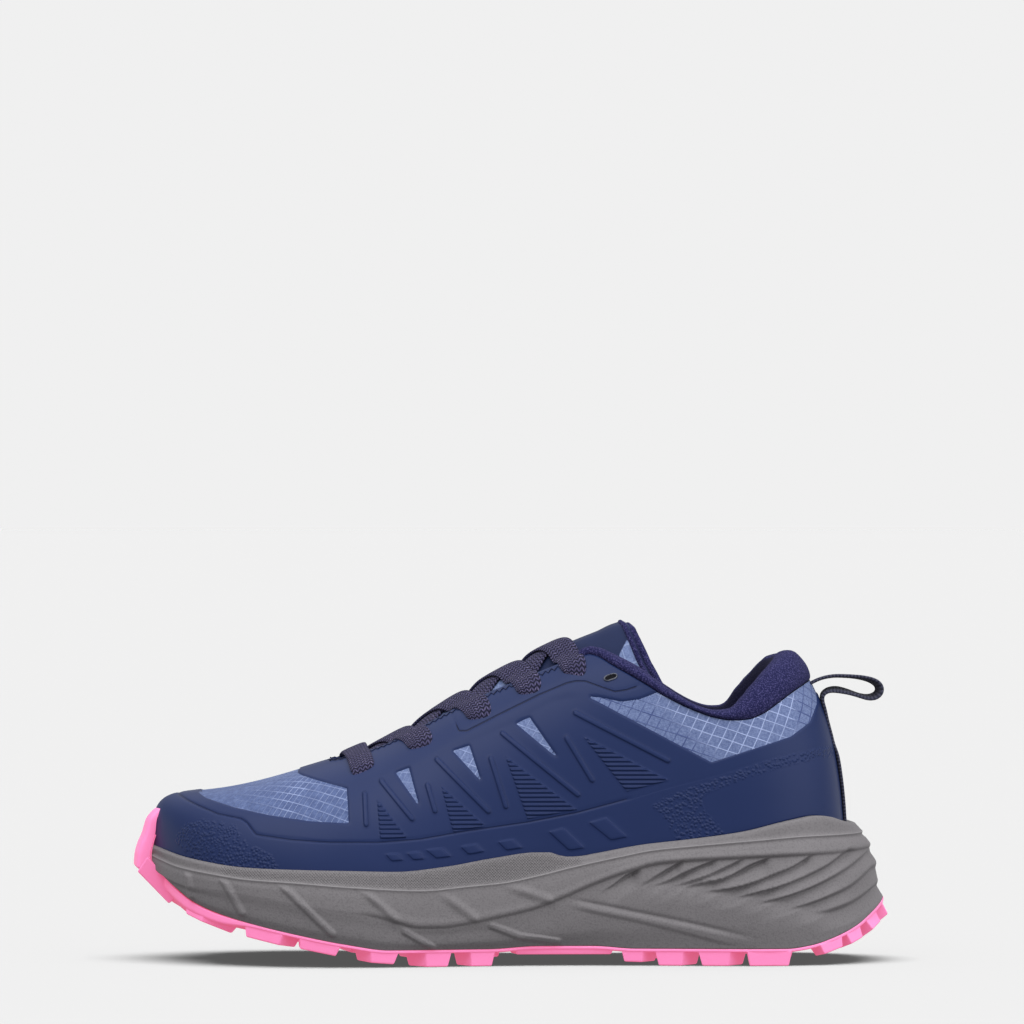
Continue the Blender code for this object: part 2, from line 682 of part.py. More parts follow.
def build_collar():
    side = [w for w in columns if w < HALF and top_edge(w)[0][0] > 21]
    ws = round_heel(max(side))
    rings = []
    for w in ws:
        edge, up, normal = top_edge(w)
        x = edge[0]
        roll, pad, drop = float(roll_height(x)), float(pad_depth(x)), float(lining_drop(x))
        inside = -(WALL + 1.3)
        seat = 1.2
        profile = (
            (FILM + FILM_GAP, seat), (FILM + FILM_GAP + 0.5, roll * 0.5), (0.2, roll * 0.9),
            (-pad * 0.45, roll * 1.05), (-pad * 0.9, roll * 0.7),
            (inside - pad, -drop * 0.15), (inside - pad * 0.9, -drop * 0.6),
            (inside - 1.2, -drop), (inside, -drop * 0.95), (inside, -drop * 0.4), (inside, seat),
        )
        ring_points = []
        for out, rise in profile:
            foot, _, away = top_edge(w, max(-rise, 0.0))
            ring_points.append(foot + away * out + up * max(rise, 0.0))
        rings.append(ring_points)
    grid = np.array(rings)
    bm = bmesh.new()
    verts = [[bm.verts.new(Vector(p) * MM) for p in loop] for loop in grid]
    for a, b in zip(verts[:-1], verts[1:]):
        for j in range(len(a)):
            bm.faces.new((a[j], b[j], b[(j + 1) % len(a)], a[(j + 1) % len(a)]))
    bm.faces.new(verts[0])
    bm.faces.new(verts[-1])
    return add_object("collar", bm, "navy knit")


def top_edge(w, below=0.0):
    """Point below the top edge of the upper at column w, with the up and outward directions."""
    points, length = section(w)
    top = reach(points, length, opening) - below
    edge = at_length(points, length, np.array([top, top - 2.0]))
    up = edge[0] - edge[1]
    up /= np.linalg.norm(up)
    beside = [at_length(*section(w + d), np.array([top]))[0] for d in (-0.5, 0.5)]
    normal = np.cross(up, beside[1] - beside[0])
    normal /= np.linalg.norm(normal)
    return edge[0], up, normal


def throat_middle(x):
    """Middle of the throat in plan."""
    return float(np.interp(x, rows[::-1, 3], rows[::-1, 4]))


def tongue_rise(x, y):
    """Height of the padded tongue above its resting depth, inside the open throat only."""
    free = float(throat_half(x)) - 0.8
    share = max(1 - ((y - throat_middle(x)) / free) ** 2, 0.0)
    return float(tongue_lift(x)) * share


def build_tongue():
    over, under = [], []
    for x, half, _, back, thick in TONGUE_ROWS:
        share = min(max((x - 8) / 14, 0.0), 1.0)
        free = min(float(throat_half(x)) - 0.8, half - 3.0)
        outer = np.array([free / 2, free, (half + free) / 2, half])
        nodes = np.concatenate([-outer[::-1], [0.0], outer])
        top = []
        for y in nodes:
            px = x + back * (y / half) ** 2
            py = throat_middle(px) + y
            hold = share * min(max((abs(y) - 6) / 7, 0.0), 1.0)
            z = inner_height(px, py) * (1 - hold) + collar_height(px, py) * hold + tongue_rise(px, py)
            top.append((px, py, z))
        over.append(top)
        taper = 0.35 + 0.65 * np.sqrt(1 - (nodes / half * 0.96) ** 2)
        under.append([(a, b, c - thick * k) for (a, b, c), k in zip(top, taper)])
    over, under = np.array(over), np.array(under)
    grid = np.concatenate([over, under[:, ::-1], over[:, :1]], 1)
    bm = grid_mesh(grid)
    bmesh.ops.holes_fill(bm, edges=bm.edges, sides=0)
    return add_object("tongue", bm, "blue ripstop")


def strap(left, right, thick):
    """Flat strip between a left and a right edge, thick both ways from their surface."""
    left, right = np.asarray(left, float), np.asarray(right, float)
    face = np.cross(np.gradient((left + right) / 2, axis=0), left - right)
    face *= thick / 2 / np.linalg.norm(face, axis=1, keepdims=True)
    corners = [left + face, right + face, right - face, left - face]
    bm = grid_mesh(np.stack(corners + corners[:1], 1))
    bmesh.ops.holes_fill(bm, edges=bm.edges, sides=0)
    return bm


def lace(start, end):
    """Strip over the throat between two plan points, held above film and tongue."""
    t = np.linspace(0, 1, 6)[:, None]
    middle = (1 - t) * start + t * end
    run = (end - start) / np.linalg.norm(end - start)
    side = np.array([-run[1], run[0]]) * LACE_WIDTH / 2

    def lift(plan):
        rest = WALL + 2 * GAP + LACE_THICK / 2
        found = []
        for x, y in plan:
            over_tongue = inner_height(x, y) + tongue_rise(x, y) + rest
            found.append((x, y, max(film_height(x, y), over_tongue)))
        return found

    return strap(lift(middle + side * 0.9), lift(middle - side * 0.9), LACE_THICK)


def eyelet(i, side, inset=EYELET_INSET):
    """Plan place of an eyelet: beside the throat, side -1 lateral and +1 medial."""
    x = EYELETS_X[i]
    return np.array([x, throat_middle(x) + side * (float(throat_half(x)) + inset)])


def build_laces():
    add_object("lace_bar", lace(eyelet(0, -1), eyelet(0, 1)), "navy lace")
    for i in range(4):
        strips = []
        for side in (-1, 1):
            start = eyelet(i, side, -3.0) + np.array([7.0, 0.0])
            strips.append(lace(start, eyelet(i + 1, -side)))
        first = add_object("lace_cross_%d" % (i + 1), strips[0], "navy lace")
        second = add_object("lace_cross_%d_under" % (i + 1), strips[1], None, CUTTERS)
        boolean(first, second, "UNION")


def build_loop():
    heel_points, heel_length = section(0.0)
    low = reach(heel_points, heel_length, above(lambda x: rim_z(x) + 2.0))
    high = reach(heel_points, heel_length, above(lambda x: x * 0 + 88.0))
    tape = at_length(heel_points, heel_length, np.linspace(low, high, 5))
    away = FILM + FILM_GAP + GAP + LOOP_THICK / 2 + 0.25
    tangent = np.gradient(tape, axis=0)
    normal = np.stack([tangent[:, 2], np.zeros(5), -tangent[:, 0]], -1)
    tape = tape + normal / np.linalg.norm(normal, axis=1, keepdims=True) * away
    path = np.concatenate([tape, [(x, 0.0, z) for x, z in LOOP_PATH]])
    half = np.array([0.0, LOOP_WIDTH / 2, 0.0])
    return add_object("pull_loop", strap(path + half, path - half, LOOP_THICK), "navy knit")


inner_height = offset_height(WALL + GAP + 0.4)
collar_height = offset_height(WALL + GAP + 5.6)
film_height = offset_height(-(FILM + FILM_GAP + GAP + LACE_THICK / 2 + 0.75))
tongue_lift = line([(r[0], r[2]) for r in TONGUE_ROWS])
build_outsole()
build_midsole()
build_insole()
build_upper()
build_films()
build_collar()
build_tongue()
build_laces()
build_loop()

for item in list(SHOE.objects) + list(CUTTERS.objects):
    item.data.transform(Matrix.Translation(Vector(CENTRE) * MM))
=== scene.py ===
"""Looks of a left trail running shoe with a waterproof bootie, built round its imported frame.

Frame: the toe points to -X, the heel to +X, the outer (lateral) side to -Y, +Z is up.
Every number in the tables is in millimetres, measured before the shoe is centred on the origin.
"""
import math

import bmesh
import bpy
import numpy as np
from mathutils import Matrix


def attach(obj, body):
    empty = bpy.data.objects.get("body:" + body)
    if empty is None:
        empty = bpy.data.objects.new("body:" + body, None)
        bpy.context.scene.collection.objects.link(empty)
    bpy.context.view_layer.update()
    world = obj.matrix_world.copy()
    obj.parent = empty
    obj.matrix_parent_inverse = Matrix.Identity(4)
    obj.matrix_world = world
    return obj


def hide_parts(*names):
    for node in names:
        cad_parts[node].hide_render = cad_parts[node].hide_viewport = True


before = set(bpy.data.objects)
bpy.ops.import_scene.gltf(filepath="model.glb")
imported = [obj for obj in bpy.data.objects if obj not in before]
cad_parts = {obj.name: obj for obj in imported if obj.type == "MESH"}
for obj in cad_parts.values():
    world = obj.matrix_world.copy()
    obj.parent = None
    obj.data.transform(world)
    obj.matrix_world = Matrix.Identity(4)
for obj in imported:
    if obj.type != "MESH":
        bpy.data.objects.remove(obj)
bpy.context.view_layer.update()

MM = 0.001
CENTRE = np.array([0.767, 0.672, 0.0])

# Wall of the upper and the film on it: how far each stands out from the last, and how far the
# cage reaches down under the lower film.
GAP = 0.35
WALL = 2.0
UPPER_OUT = 1.0
FILM_RISE = 0.4
FILM_OUT = UPPER_OUT + FILM_RISE
FILM_THICK = 0.55
FILM_LAP = 1.2
# How far the lower film goes down behind the midsole's rim, depth and width of the seam along its top
# edge, how deep that edge lies under the cage behind the seam, and how deep the cage sinks at a window.
RIM_LAP = 0.6
SEAM_CUT = 0.1
SEAM_WIDE = 0.7
EDGE_SUNK = 0.25
EDGE_WIDE = 0.55
WINDOW_SUNK = 0.5

# Crowding of the columns at heel and toe, the surface's direction where they meet on the vamp, and the
# distances from there between which it takes over.
CROWD = 0.4
POLE_NORMAL = np.array([-0.17, 0.0, 0.985])
POLE_BLEND = (10.0, 4.0)

# One row per station round the foot, heel to toe. x and the two half widths place the
# edge of the foot bed; the ridge columns place the top of the closed last; square is the
# exponent of the rounded section between the two.
LAST_COLUMNS = ("x", "lateral", "medial", "x_ridge", "y_ridge", "z_ridge", "square")
LAST_ROWS = (
    (122.5, 0.0, 0.0, 87.0, 0.0, 120.0, 2.2),
    (115.0, 20.5, 20.5, 84.0, 0.0, 120.0, 2.3),
    (98.0, 31.0, 30.5, 76.0, 0.0, 120.5, 2.6),
    (66.0, 33.0, 31.5, 58.0, 0.0, 121.0, 2.9),
    (33.0, 33.5, 30.5, 33.0, 0.0, 117.5, 3.0),
    (3.0, 36.0, 31.5, 8.0, 0.5, 107.8, 2.5),
    (-25.0, 40.5, 35.5, -18.0, 1.0, 94.8, 2.2),
    (-50.0, 44.0, 41.0, -44.0, 1.5, 80.4, 2.15),
    (-75.0, 44.0, 43.5, -66.0, 2.0, 73.0, 2.3),
    (-98.0, 37.5, 41.0, -84.0, 3.0, 66.9, 2.7),
    (-117.0, 25.0, 33.0, -97.0, 4.5, 62.8, 3.5),
    (-128.0, 9.0, 22.0, -102.0, 6.0, 61.4, 4.7),
    (-132.3, -7.0, 7.0, -104.0, 7.0, 60.9, 5.5),
)

# How far each line of the midsole wall stands out from the foot bed's edge.
WALL_COLUMNS = ("rim", "bead", "step", "belly", "bottom")
WALL_ROWS = (
    (5.4, 7.9, 10.9, 13.2, 15.6),
    (5.0, 7.2, 9.6, 11.4, 11.2),
    (4.4, 6.2, 8.0, 9.2, 7.0),
    (4.0, 5.6, 6.6, 7.0, 4.4),
    (3.8, 5.4, 6.2, 6.0, 2.2),
    (3.8, 5.4, 6.2, 5.2, 1.2),
    (3.8, 5.6, 6.2, 5.2, 2.2),
    (3.6, 5.6, 6.2, 5.4, 3.0),
    (3.6, 5.4, 6.0, 5.2, 3.0),
    (3.4, 5.0, 5.4, 4.6, 2.6),
    (3.0, 4.2, 4.4, 3.4, 1.4),
    (2.4, 3.0, 3.0, 1.6, -0.4),
    (2.0, 2.4, 2.2, 0.6, -1.4),
)

# Lines drawn in the side view: height against x.
GROUND_LINE = (
    (-136, 45), (-131, 34.5), (-126.6, 30), (-122, 26.3), (-117.7, 23.4), (-109, 19.7),
    (-95.4, 15.8), (-77.6, 11.8), (-60, 8.4), (-44, 6.25), (-8, 6.25), (10, 7.2), (30, 7.2),
    (46, 6.25), (101, 6.25), (110, 7.4), (118.5, 10), (127.4, 14.2), (132, 17.6), (136.5, 21.5),
    (140, 25.5),
)
BED_LINE = (
    (-140, 38), (-125, 35), (-105, 30.5), (-80, 26.8), (-45, 25.5), (0, 29), (60, 33.5), (122, 36),
    (140, 36),
)
RIM_LINE = (
    (-136, 43.6), (-131, 42.5), (-117, 39), (-95, 36.1), (-77, 35.6), (-60, 35.3), (-42, 34.9),
    (-24.5, 36.6), (-6.4, 39.7), (9, 41.6), (13.5, 41.6), (17.5, 40.5), (20.9, 40), (25, 40.2),
    (29.7, 41), (47.8, 44.3), (66, 46.4), (84, 49), (102, 53.3), (110, 54.6), (114, 54),
    (118, 52.4), (122, 50.9), (128, 50),
)
BEAD_LINE = (
    (-133, 39.2), (-130.6, 38.7), (-118.9, 35.5), (-109.4, 33.9), (-93.7, 31.8), (-79.7, 31),
    (-58.6, 29.3), (-33.1, 28), (-16.4, 29.4), (-3.3, 30.6), (9.5, 33.1), (21.9, 36.1),
    (39.5, 39.9), (51.2, 42.2), (69.8, 44.1), (88.5, 45.8), (107.3, 47.3), (129.5, 47.6),
)
STEP_LINE = (
    (-133, 35.5), (-118.1, 29.9), (-99.6, 27.4), (-72.7, 22.7), (-50, 19.2), (-41.5, 16.6),
    (-33.8, 14.9), (-27, 14.9), (-20, 15.6), (-5.8, 18.3), (8, 21.5), (18.6, 25.4), (28.9, 29.8),
    (43.1, 34.9), (53.3, 37.5), (62.5, 38.5), (80, 39.6), (99.8, 40.6), (112, 41.2), (128, 43),
)
GUARD_LINE = (
    (-130, 72), (-124.4, 60.7), (-115.8, 57.4), (-107, 54.4), (-98.5, 53), (-96.2, 51.6),
    (-92.8, 47.6), (-79.9, 45.9), (-66, 45.1), (-48.5, 45.1), (-33.2, 46.3), (-17.2, 49.1),
    (5.9, 52.4), (24.2, 55.9), (43.6, 61.1), (54, 63),
)
GUARD_GROOVE = GUARD_LINE[1:-1]
LOWER_FILM_LINE = GUARD_LINE[:-1] + (
    (51, 63.4), (58.3, 65.5), (71.8, 69), (85.2, 73), (98.7, 76.8), (112.1, 79.3), (124, 80.5),
)
COLLAR_LINE = (
    (12, 125), (19, 113.8), (24.1, 112.9), (28, 112.7), (32, 111.9), (37.2, 109), (42.7, 106),
    (49.2, 102.3), (57.3, 97.5), (69.4, 92), (75.5, 90.1), (81.2, 89.3), (86.7, 89.6), (91.9, 91.4),
    (97.8, 95.3), (102.4, 98.6), (107.8, 101.9), (112, 104.2),
)
COLLAR_FRONT = 26.5

# Half width of the throat against x, with its ends, and the lowest height at which it opens.
THROAT_LINE = (
    (-68.5, 0), (-67.5, 6), (-65, 10), (-60, 12), (-50, 12.6), (-40, 12.9), (0, 15.5), (14, 16.5), (30, 17),
)
THROAT_FRONT = THROAT_LINE[0][0]
THROAT_BACK = 34.0
THROAT_LOW = 60.0

# Collar against x: height of its roll, depth of its pad and drop of its lining.
COLLAR_ROLL = (
    (20, 5.2), (28, 6.3), (46, 6.2), (57, 4.5), (70, 3.0), (80.7, 5.0), (86, 9), (90, 11.8),
    (97, 13.6), (112, 13.8),
)
COLLAR_PAD = ((20, 3), (50, 3.4), (62, 5.5), (80, 8), (100, 11), (112, 13))
COLLAR_DROP = ((20, 6), (50, 8), (66, 22), (90, 32), (112, 36))
# Extra roll on the inner side near the heel.
COLLAR_HUMP = 2.2

# Outlines on the side of the upper, as (x, z) corners seen from the side.
VAMP_WINDOW = (
    (-122, 80), (-117.7, 62.1), (-112.3, 59.7), (-101.3, 56.9), (-87.1, 54.3), (-73.1, 52.5),
    (-59.3, 51.9), (-59.6, 57.8), (-60.1, 64), (-68.6, 66), (-75.8, 67.8), (-78.1, 68.5),
    (-79.1, 70), (-79.5, 80),
)
ANKLE_WINDOW = (
    (28.4, 98), (73.5, 74.2), (102.4, 83.3), (109.4, 88.3), (112.3, 94.7), (112.4, 102.9),
    (108, 120), (66, 120), (53.6, 99.4), (47.3, 97), (40.7, 96.1), (32.7, 97.6),
)
TRIANGLES = (
    ((-42.1, 69.7), (-37.2, 71.5), (-33.6, 58.2)),
    ((-21.1, 77.8), (-15.1, 79.9), (-11.0, 67.2)),
    ((2.0, 87.9), (7.0, 90.2), (17.4, 75.4)),
)
BARS = (
    ((-53.4, 61.9), (-52.9, 51.4)), ((-47.2, 66.4), (-36.1, 53.5)), ((-30.4, 65.4), (-27.8, 56.4)),
    ((-26.8, 74.4), (-8.4, 56.3)), ((-7.3, 75.2), (-2.0, 58.1)), ((-2.9, 84.2), (24.5, 62.4)),
    ((20.5, 82.8), (29.7, 67.7)), ((23.8, 91.9), (57.5, 74.8)),
)
BAR_HALF = 0.95
BAR_RISE = 0.3
RIBBED = (
    ((-49.0, 60.5), (-47.8, 45.8), (-37.8, 46.8)),
    ((-25.6, 65.4), (-21.4, 48.8), (-9.1, 50.9)),
    ((-2.2, 76.4), (5.9, 53.5), (24.5, 56.9)),
    ((26.0, 84.0), (42.3, 63.5), (58.2, 67.6)),
)
RIB_PITCH = 1.62
RIB_RISE = 0.25
BLOCKS = (
    ((-45.9, 40.9), (-41.2, 41.3), (-39.4, 38.7), (-43.7, 38.4)),
    ((-38.3, 41.4), (-33.6, 42.0), (-31.7, 39.2), (-35.7, 38.8)),
    ((-31.4, 42.5), (-25.2, 43.2), (-21.9, 40.1), (-27.4, 39.4)),
    ((-18.8, 43.7), (-13.1, 44.7), (-9.9, 41.8), (-15.7, 40.7)),
    ((-5.1, 45.4), (0.4, 46.4), (4.2, 43.1), (-1.8, 42.2)),
    ((13.7, 48.9), (19.2, 50.4), (27.1, 43.0), (21.2, 42.1)),
    ((28.4, 52.3), (34.8, 54.2), (42.8, 47.0), (36.6, 45.8)),
)
BLOCK_RISE = 0.35
TOE_PATCH = (
    (-122.7, 44), (-122, 48), (-118.6, 51.3), (-112.8, 52.6), (-106.3, 52.1), (-100.3, 50.7), (-98.4, 47.8),
    (-95.4, 44.1), (-92.4, 43.3), (-86.8, 40.5), (-84.2, 36.3), (-84.2, 33), (-99, 33), (-116, 38),
)
HEEL_BAND = (
    (51.2, 58.4), (58.3, 62.7), (71.8, 67.3), (85.2, 72.2), (98.7, 76.4), (112.1, 79.0), (126, 80.5),
    (126, 76), (111.9, 74.7), (98.6, 72.1), (85.2, 67.7), (71.8, 62.8), (70.5, 61.4), (70.9, 56.9),
    (80, 47.5), (61.5, 44), (56.6, 52.5),
)
EYESTAY_GROOVE = (
    (-21.0, 89.4), (-18.7, 84.6), (-15.9, 84.7), (-3.3, 91.1), (10.7, 98.0), (20.6, 102.2),
    (24.3, 103.2), (27.6, 103.2), (32.7, 101.4), (38.2, 99.6), (42.6, 100.3), (47.4, 101.9),
)
GROOVE_DEPTH = 0.2
GROOVE_HALF = 0.45
SOFT_EDGE = (
    (-59.3, 64.2), (-35.5, 71.1), (-21.6, 79.1), (1.0, 88.9), (14.3, 96.6), (21.3, 98.4), (27, 98.4),
)
SOFT_LIFT = 0.3
# The seam between lower film and cage: gone behind the first x, full before the second one.
SEAM_FADE = (45.0, 36.0)

# Square grid of the ripstop on the upper and the tongue; where the vamp ends, stretch along both
# threads and turn there; size, turn of both threads and bow at the ankle, and where the bow starts.
RIPSTOP_PITCH = 3.4
TONGUE_PITCH = 3.2
VAMP_END = -25.0
VAMP_GRID = (1.55, 0.9)
VAMP_TURN = math.radians(30.0)
ANKLE_GRID = 0.88
ANKLE_TURN = (math.radians(-30.0), math.radians(18.0))
ANKLE_BOW = 0.007
BOW_START = -45.0

# Eyelets on the lateral eyestay, in plan; the last one holds no lace.
EYELETS = ((-54.3, -26.8), (-33.1, -25.1), (-11.4, -24.3), (7.0, -23.2), (23.5, -23.1), (36.4, -26.1))
LACE_WIDTH = 8.8
LACE_THICK = 1.5
# How far a run goes on past its eyelet, how far its edges differ there, over which length its end
# is rounded, how deep it dives and how deep and how long its start is sunk under the eyestay.
LACE_PAST = 0.9
LACE_SLANT = 2.0
LACE_ROUND = 4.2
LACE_DIVE = 3.2
LACE_SUNK = (4.5, 9.0)
# The front bar's slope in plan and lift; the lift of each second run over the first one; where a run
# starts: behind its eyelet, not before the first x, beside the throat.
BAR_SLOPE = 6.0
BAR_LIFT = 3.4
CROSS_LIFT = 1.5
RUN_BACK = 7.0
RUN_FIRST = -57.0
RUN_BESIDE = 3.0
# Zigzag thread along the throat: length of one zigzag, radius, both distances from the edge, first
# and last x.
STITCH = 2.4
STITCH_CORD = 0.26
STITCH_ROWS = (1.3, 2.9)
STITCH_ENDS = (-66.6, 19.0)
# The empty eyelet: place in the side view, lean, half width, half length of its straight sides and
# radius of its rim.
SLOT = (36.6, 104.6)
SLOT_LEAN = 0.35
SLOT_HALF = 1.05
SLOT_STRAIGHT = 1.35
SLOT_RIM = 0.24

# Tongue at stations of x: half width, lift in the middle, set-back of its edges and thickness.
TONGUE_COLUMNS = ("x", "half", "lift", "back", "thick")
TONGUE_ROWS = (
    (-74, 10, 0.0, 0, 2.0),
    (-67, 14, 0.4, 0, 2.2),
    (-58, 17, 1.4, 0, 2.4),
    (-52, 20, 2.4, 0, 2.6),
    (-36, 22, 4.2, 0, 3.4),
    (-18, 23, 5.4, 0, 4.0),
    (0, 23.5, 6.0, 0, 4.6),
    (12, 22.5, 6.8, 2, 4.8),
    (22, 20.5, 7.0, 5, 5.0),
    (31, 19.5, 7.4, 9, 5.4),
    (37, 19, 8.6, 12, 5.6),
    (43, 18, 9.2, 14, 4.8),
)
# How deep it rests under the last's wall in the throat and under the collar; the stations and the
# distances from its middle between which the collar takes over.
TONGUE_UNDER = 0.4
COLLAR_UNDER = 5.6
HELD_STATIONS = (8.0, 22.0)
HELD_SIDES = (6.0, 13.0)
# Its top station, the length of its rows set closer there, start and length of its rounded end, half
# width of its cover laid flat, the x from which the cover is navy, the corner of ripstop at its top in
# the side view with that corner's last station, and its cords: station, lift and radius.
TONGUE_TOP = 43.0
TONGUE_END = 1.5
TONGUE_ROUND = (40.6, 2.45)
TONGUE_FLAT = 20.0
TONGUE_NAVY = 10.0
TONGUE_MESH = ((43.9, 120.6), (39.8, 112.9), (41, 108), (50, 106), (49, 112))
MESH_END = 40.4
TONGUE_CORDS = (("tongue_piping", 43.3, 0.0, 1.35), ("tongue_binding", 40.6, 2.2, 1.0))

# Lugs along both edges of the plate: x of the outer face's middle, its length, the height and
# the slant of the ends in plan; the long one is the rail under the arch.
EDGE_LUGS = (
    (-112.6, 12.0, 3.2, 0.8), (-88.8, 15.7, 3.0, 0.3), (-69.4, 15.7, 2.6, -0.15), (-46.8, 10.6, 2.8, -0.45),
    (-27.4, 10.0, 4.1, -0.53), (-11.3, 9.6, 4.1, -0.4), (19.4, 37.0, 1.0, -0.2), (44.5, 8.2, 2.8, 0.5),
    (58.1, 10.6, 4.1, 0.56), (74.6, 12.0, 4.1, 0.53), (94.0, 16.8, 4.1, 0.1),
)
# Lugs round the heel's curve: place round the foot, length along the edge and height.
HEEL_EDGE_LUGS = ((26.2, 10.4, 2.4), (18.6, 8.4, 3.0), (10.6, 10.6, 3.4))
LUG_WIDTH = 11.0
HEEL_LUG_WIDTH = 8.0
# Height of a lug that is inside the plate, how much narrower and shorter its foot is as a share of
# its width and length, the most in mm that it is shorter, and the width of its worn edges.
LUG_ROOT = 1.7
LUG_NARROW = 0.14
LUG_SHORT = 0.2
LUG_SHORT_MOST = 2.4
LUG_BEVEL = 0.5
# Lugs inside the edges in two rows: x, y, length, width, turn in plan and height.
INNER_LUGS = [
    (x, side * 11.0 + 2.0, 14.0, 11.0, -side * 0.5, 2.6)
    for x in (-100, -78, -56, -34, -12) for side in (-1, 1)
]
INNER_LUGS += [(x, side * 9.0, 11.0, 9.0, -side * 0.5, 3.0) for x in (56, 77, 98) for side in (-1, 1)]
# Blocks at the heel's back and at the toe: x, y, length, width, turn, height, lean and side; the
# first x is measured from the foot bed's end.
END_LUGS = ((11.2, 0.0, 12.0, 15.0, 0.0, 3.6, 0.0, 1), (-129.2, 5.0, 19.0, 26.0, 0.0, 4.8, 0.0, 1))
# How far the middles of the edge lugs lie inside the plate's edge, along the sides and round the heel.
LUG_INSET = 5.6
HEEL_LUG_INSET = 3.6
# Rubber plate: thickness, how much it grows at the toe, and its profile: share of the way from the
# middle line to the edge, and drop. Bumper: thickness, half length round the foot, heights of its rows
# on the film, and how much of its thickness each row has.
PLATE = 1.8
TOE_PLATE = 2.0
PLATE_ROWS = (
    (0.0, 0.1), (0.4, 0.1), (0.8, 0.1), (1.0, 0.1), (1.002, 0.3), (1.002, 0.8), (1.0, 1.05), (0.985, 1.2),
    (0.8, 1.8), (0.4, 2.0), (0.0, 2.0),
)
BUMPER = 3.4
BUMPER_HALF = 10.5
BUMPER_HEIGHTS = (47.0, 51.5, 56.0)
BUMPER_SWELL = (1.2, 1.5, 1.65, 1.5, 1.35, 1.15, 0.85, 0.4)

# Raised lines and creases of the midsole wall in the side view, and the blades between creases:
# widest gap, slope and depth of a blade, height of its lip.
FOAM_RIBS = (
    ((-118.9, 35.3), (-117.4, 25.1)), ((-105.6, 32.6), (-98.2, 19.7)), ((-84.1, 30.9), (-65.1, 12.5)),
    ((-54.2, 28.9), (-41.5, 17.6)), ((-26.2, 27.6), (-12.7, 17.7)), ((-2.2, 29.9), (14.2, 24.4)),
    ((-38.4, 13.2), (-28.7, 7.3)), ((-6.8, 15.0), (3.3, 11.0), (17.0, 9.0)),
)
RIDGE_TOP = ((18, 25.3), (28.8, 23.2), (47.1, 19.5), (65.3, 15.8), (81.2, 12.2), (89.7, 10.3), (98, 8.6))
RIDGE_FOOT = ((18, 22.3), (28.8, 20.0), (47.1, 16.1), (65.3, 11.6), (74.5, 9.1), (86, 6.4), (98, 5))
FIN_CREASES = (
    ((32.5, 26.5), (38, 30.1), (42.2, 33.2), (47.1, 35.4)),
    ((46.5, 28.9), (51.9, 32), (56.2, 34.7), (62.9, 38.7)),
    ((51, 28.9), (57.4, 31), (62.9, 33.8), (69, 36.5), (75.1, 38.9)),
    ((58.7, 28.7), (66.6, 31.2), (73.9, 33.9), (84.8, 39.2)),
    ((62.3, 28.4), (70.2, 30.3), (77.5, 31.9), (82.4, 34.1), (87.3, 36.8), (94.6, 39.6)),
    ((70.2, 26.9), (80.6, 28.4), (88.5, 30.5), (95.8, 33.3), (103.2, 36.1), (110.7, 40.4)),
    ((81.5, 24.8), (89.7, 26.8), (98.9, 29.3), (108.2, 32.7), (115.7, 36), (124.6, 41.6)),
    ((89.7, 22.8), (98.9, 24.9), (108.2, 27.8), (115.7, 30.8), (123.4, 34.7), (131.9, 40)),
    ((101.3, 20.6), (110.1, 22.8), (118.9, 25.8), (124.6, 28.2), (134, 34.8)),
    ((110.1, 18.7), (117.6, 20), (124.6, 22.1), (129.9, 24.8), (135.4, 28.2)),
)
FIN_GAP = 7.0
FIN_SLOPE = 0.4
FIN_DEPTH = (0.9, 2.4)
FIN_LIP = 0.45
# Height of a rib and its half width at foot and top; height of the long band and depth of its crease;
# lip and crease of the S line.
FOAM_RIB_RISE = 1.0
FOAM_RIB_SIDE = (1.7, 0.5)
RIDGE_RISE = 0.6
RIDGE_CREASE = 0.5
STEP_LIP = 0.45
STEP_CREASE = 1.0
# Edge of the cup that holds the upper, out from the foot bed, and of the loose foot bed, inside it;
# profile of the loose one: share of the way from the middle line to the edge, and rise.
CUP_OUT = 0.9
FOOT_BED_IN = 3.2
FOOT_BED_ROWS = (
    (0.0, 0.4), (0.3, 0.4), (0.6, 0.4), (0.8, 0.4), (0.9, 0.4), (0.96, 0.5), (1.0, 1.2), (1.0, 4.0),
    (0.97, 5.0), (0.92, 5.0), (0.85, 4.7), (0.75, 4.3), (0.6, 4.0), (0.4, 3.9), (0.2, 3.9), (0.0, 3.9),
)

# Heel tape and pull loop: width, thickness and the loop's path in the side view.
LOOP_WIDTH = 11.0
LOOP_THICK = 1.3
LOOP_PATH = (
    (116.4, 93.2), (115.3, 96.6), (115.6, 98.7), (117.8, 100.0), (120.8, 100.2), (124.9, 99.3),
    (129.4, 97.8), (132.7, 97.0), (135.7, 97.6), (137.2, 99.6), (136.7, 101.9), (134.2, 103.5),
    (130.5, 104.5), (126.0, 105.0), (120.4, 105.2), (116.7, 104.7), (113.4, 103.6), (111.3, 102.4),
)
# Roll of the webbing along the loop, in degrees, against x on its lower and its upper run.
LOOP_ROLL_LOW = ((114, 0), (121, 9), (129, 2), (134, 8), (138, 12))
LOOP_ROLL_HIGH = ((110, 2), (126, 3), (132, 6), (138, 12))
# Start of the tape above the midsole's rim, how deep it is pressed into the film, the height at which
# it leaves the heel, and the height between the loop's two runs; before this x and below this height
# the webbing doesn't roll.
TAPE_START = 0.5
TAPE_SUNK = 0.85
LOOP_FOOT = 88.0
LOOP_MIDDLE = 101.0
LOOP_FLAT = (120.0, 97.5)

# Studio: strength of the horizon, the room and the light overhead; tone, light and glow of the floor;
# the camera's place and the width that it sees, in metres.
BACKDROP = 0.871
ROOM = 0.33
OVERHEAD = 1.5
FLOOR_SIZE = 60.0
FLOOR_TONE = 0.04
FLOOR_GLOW = 0.085
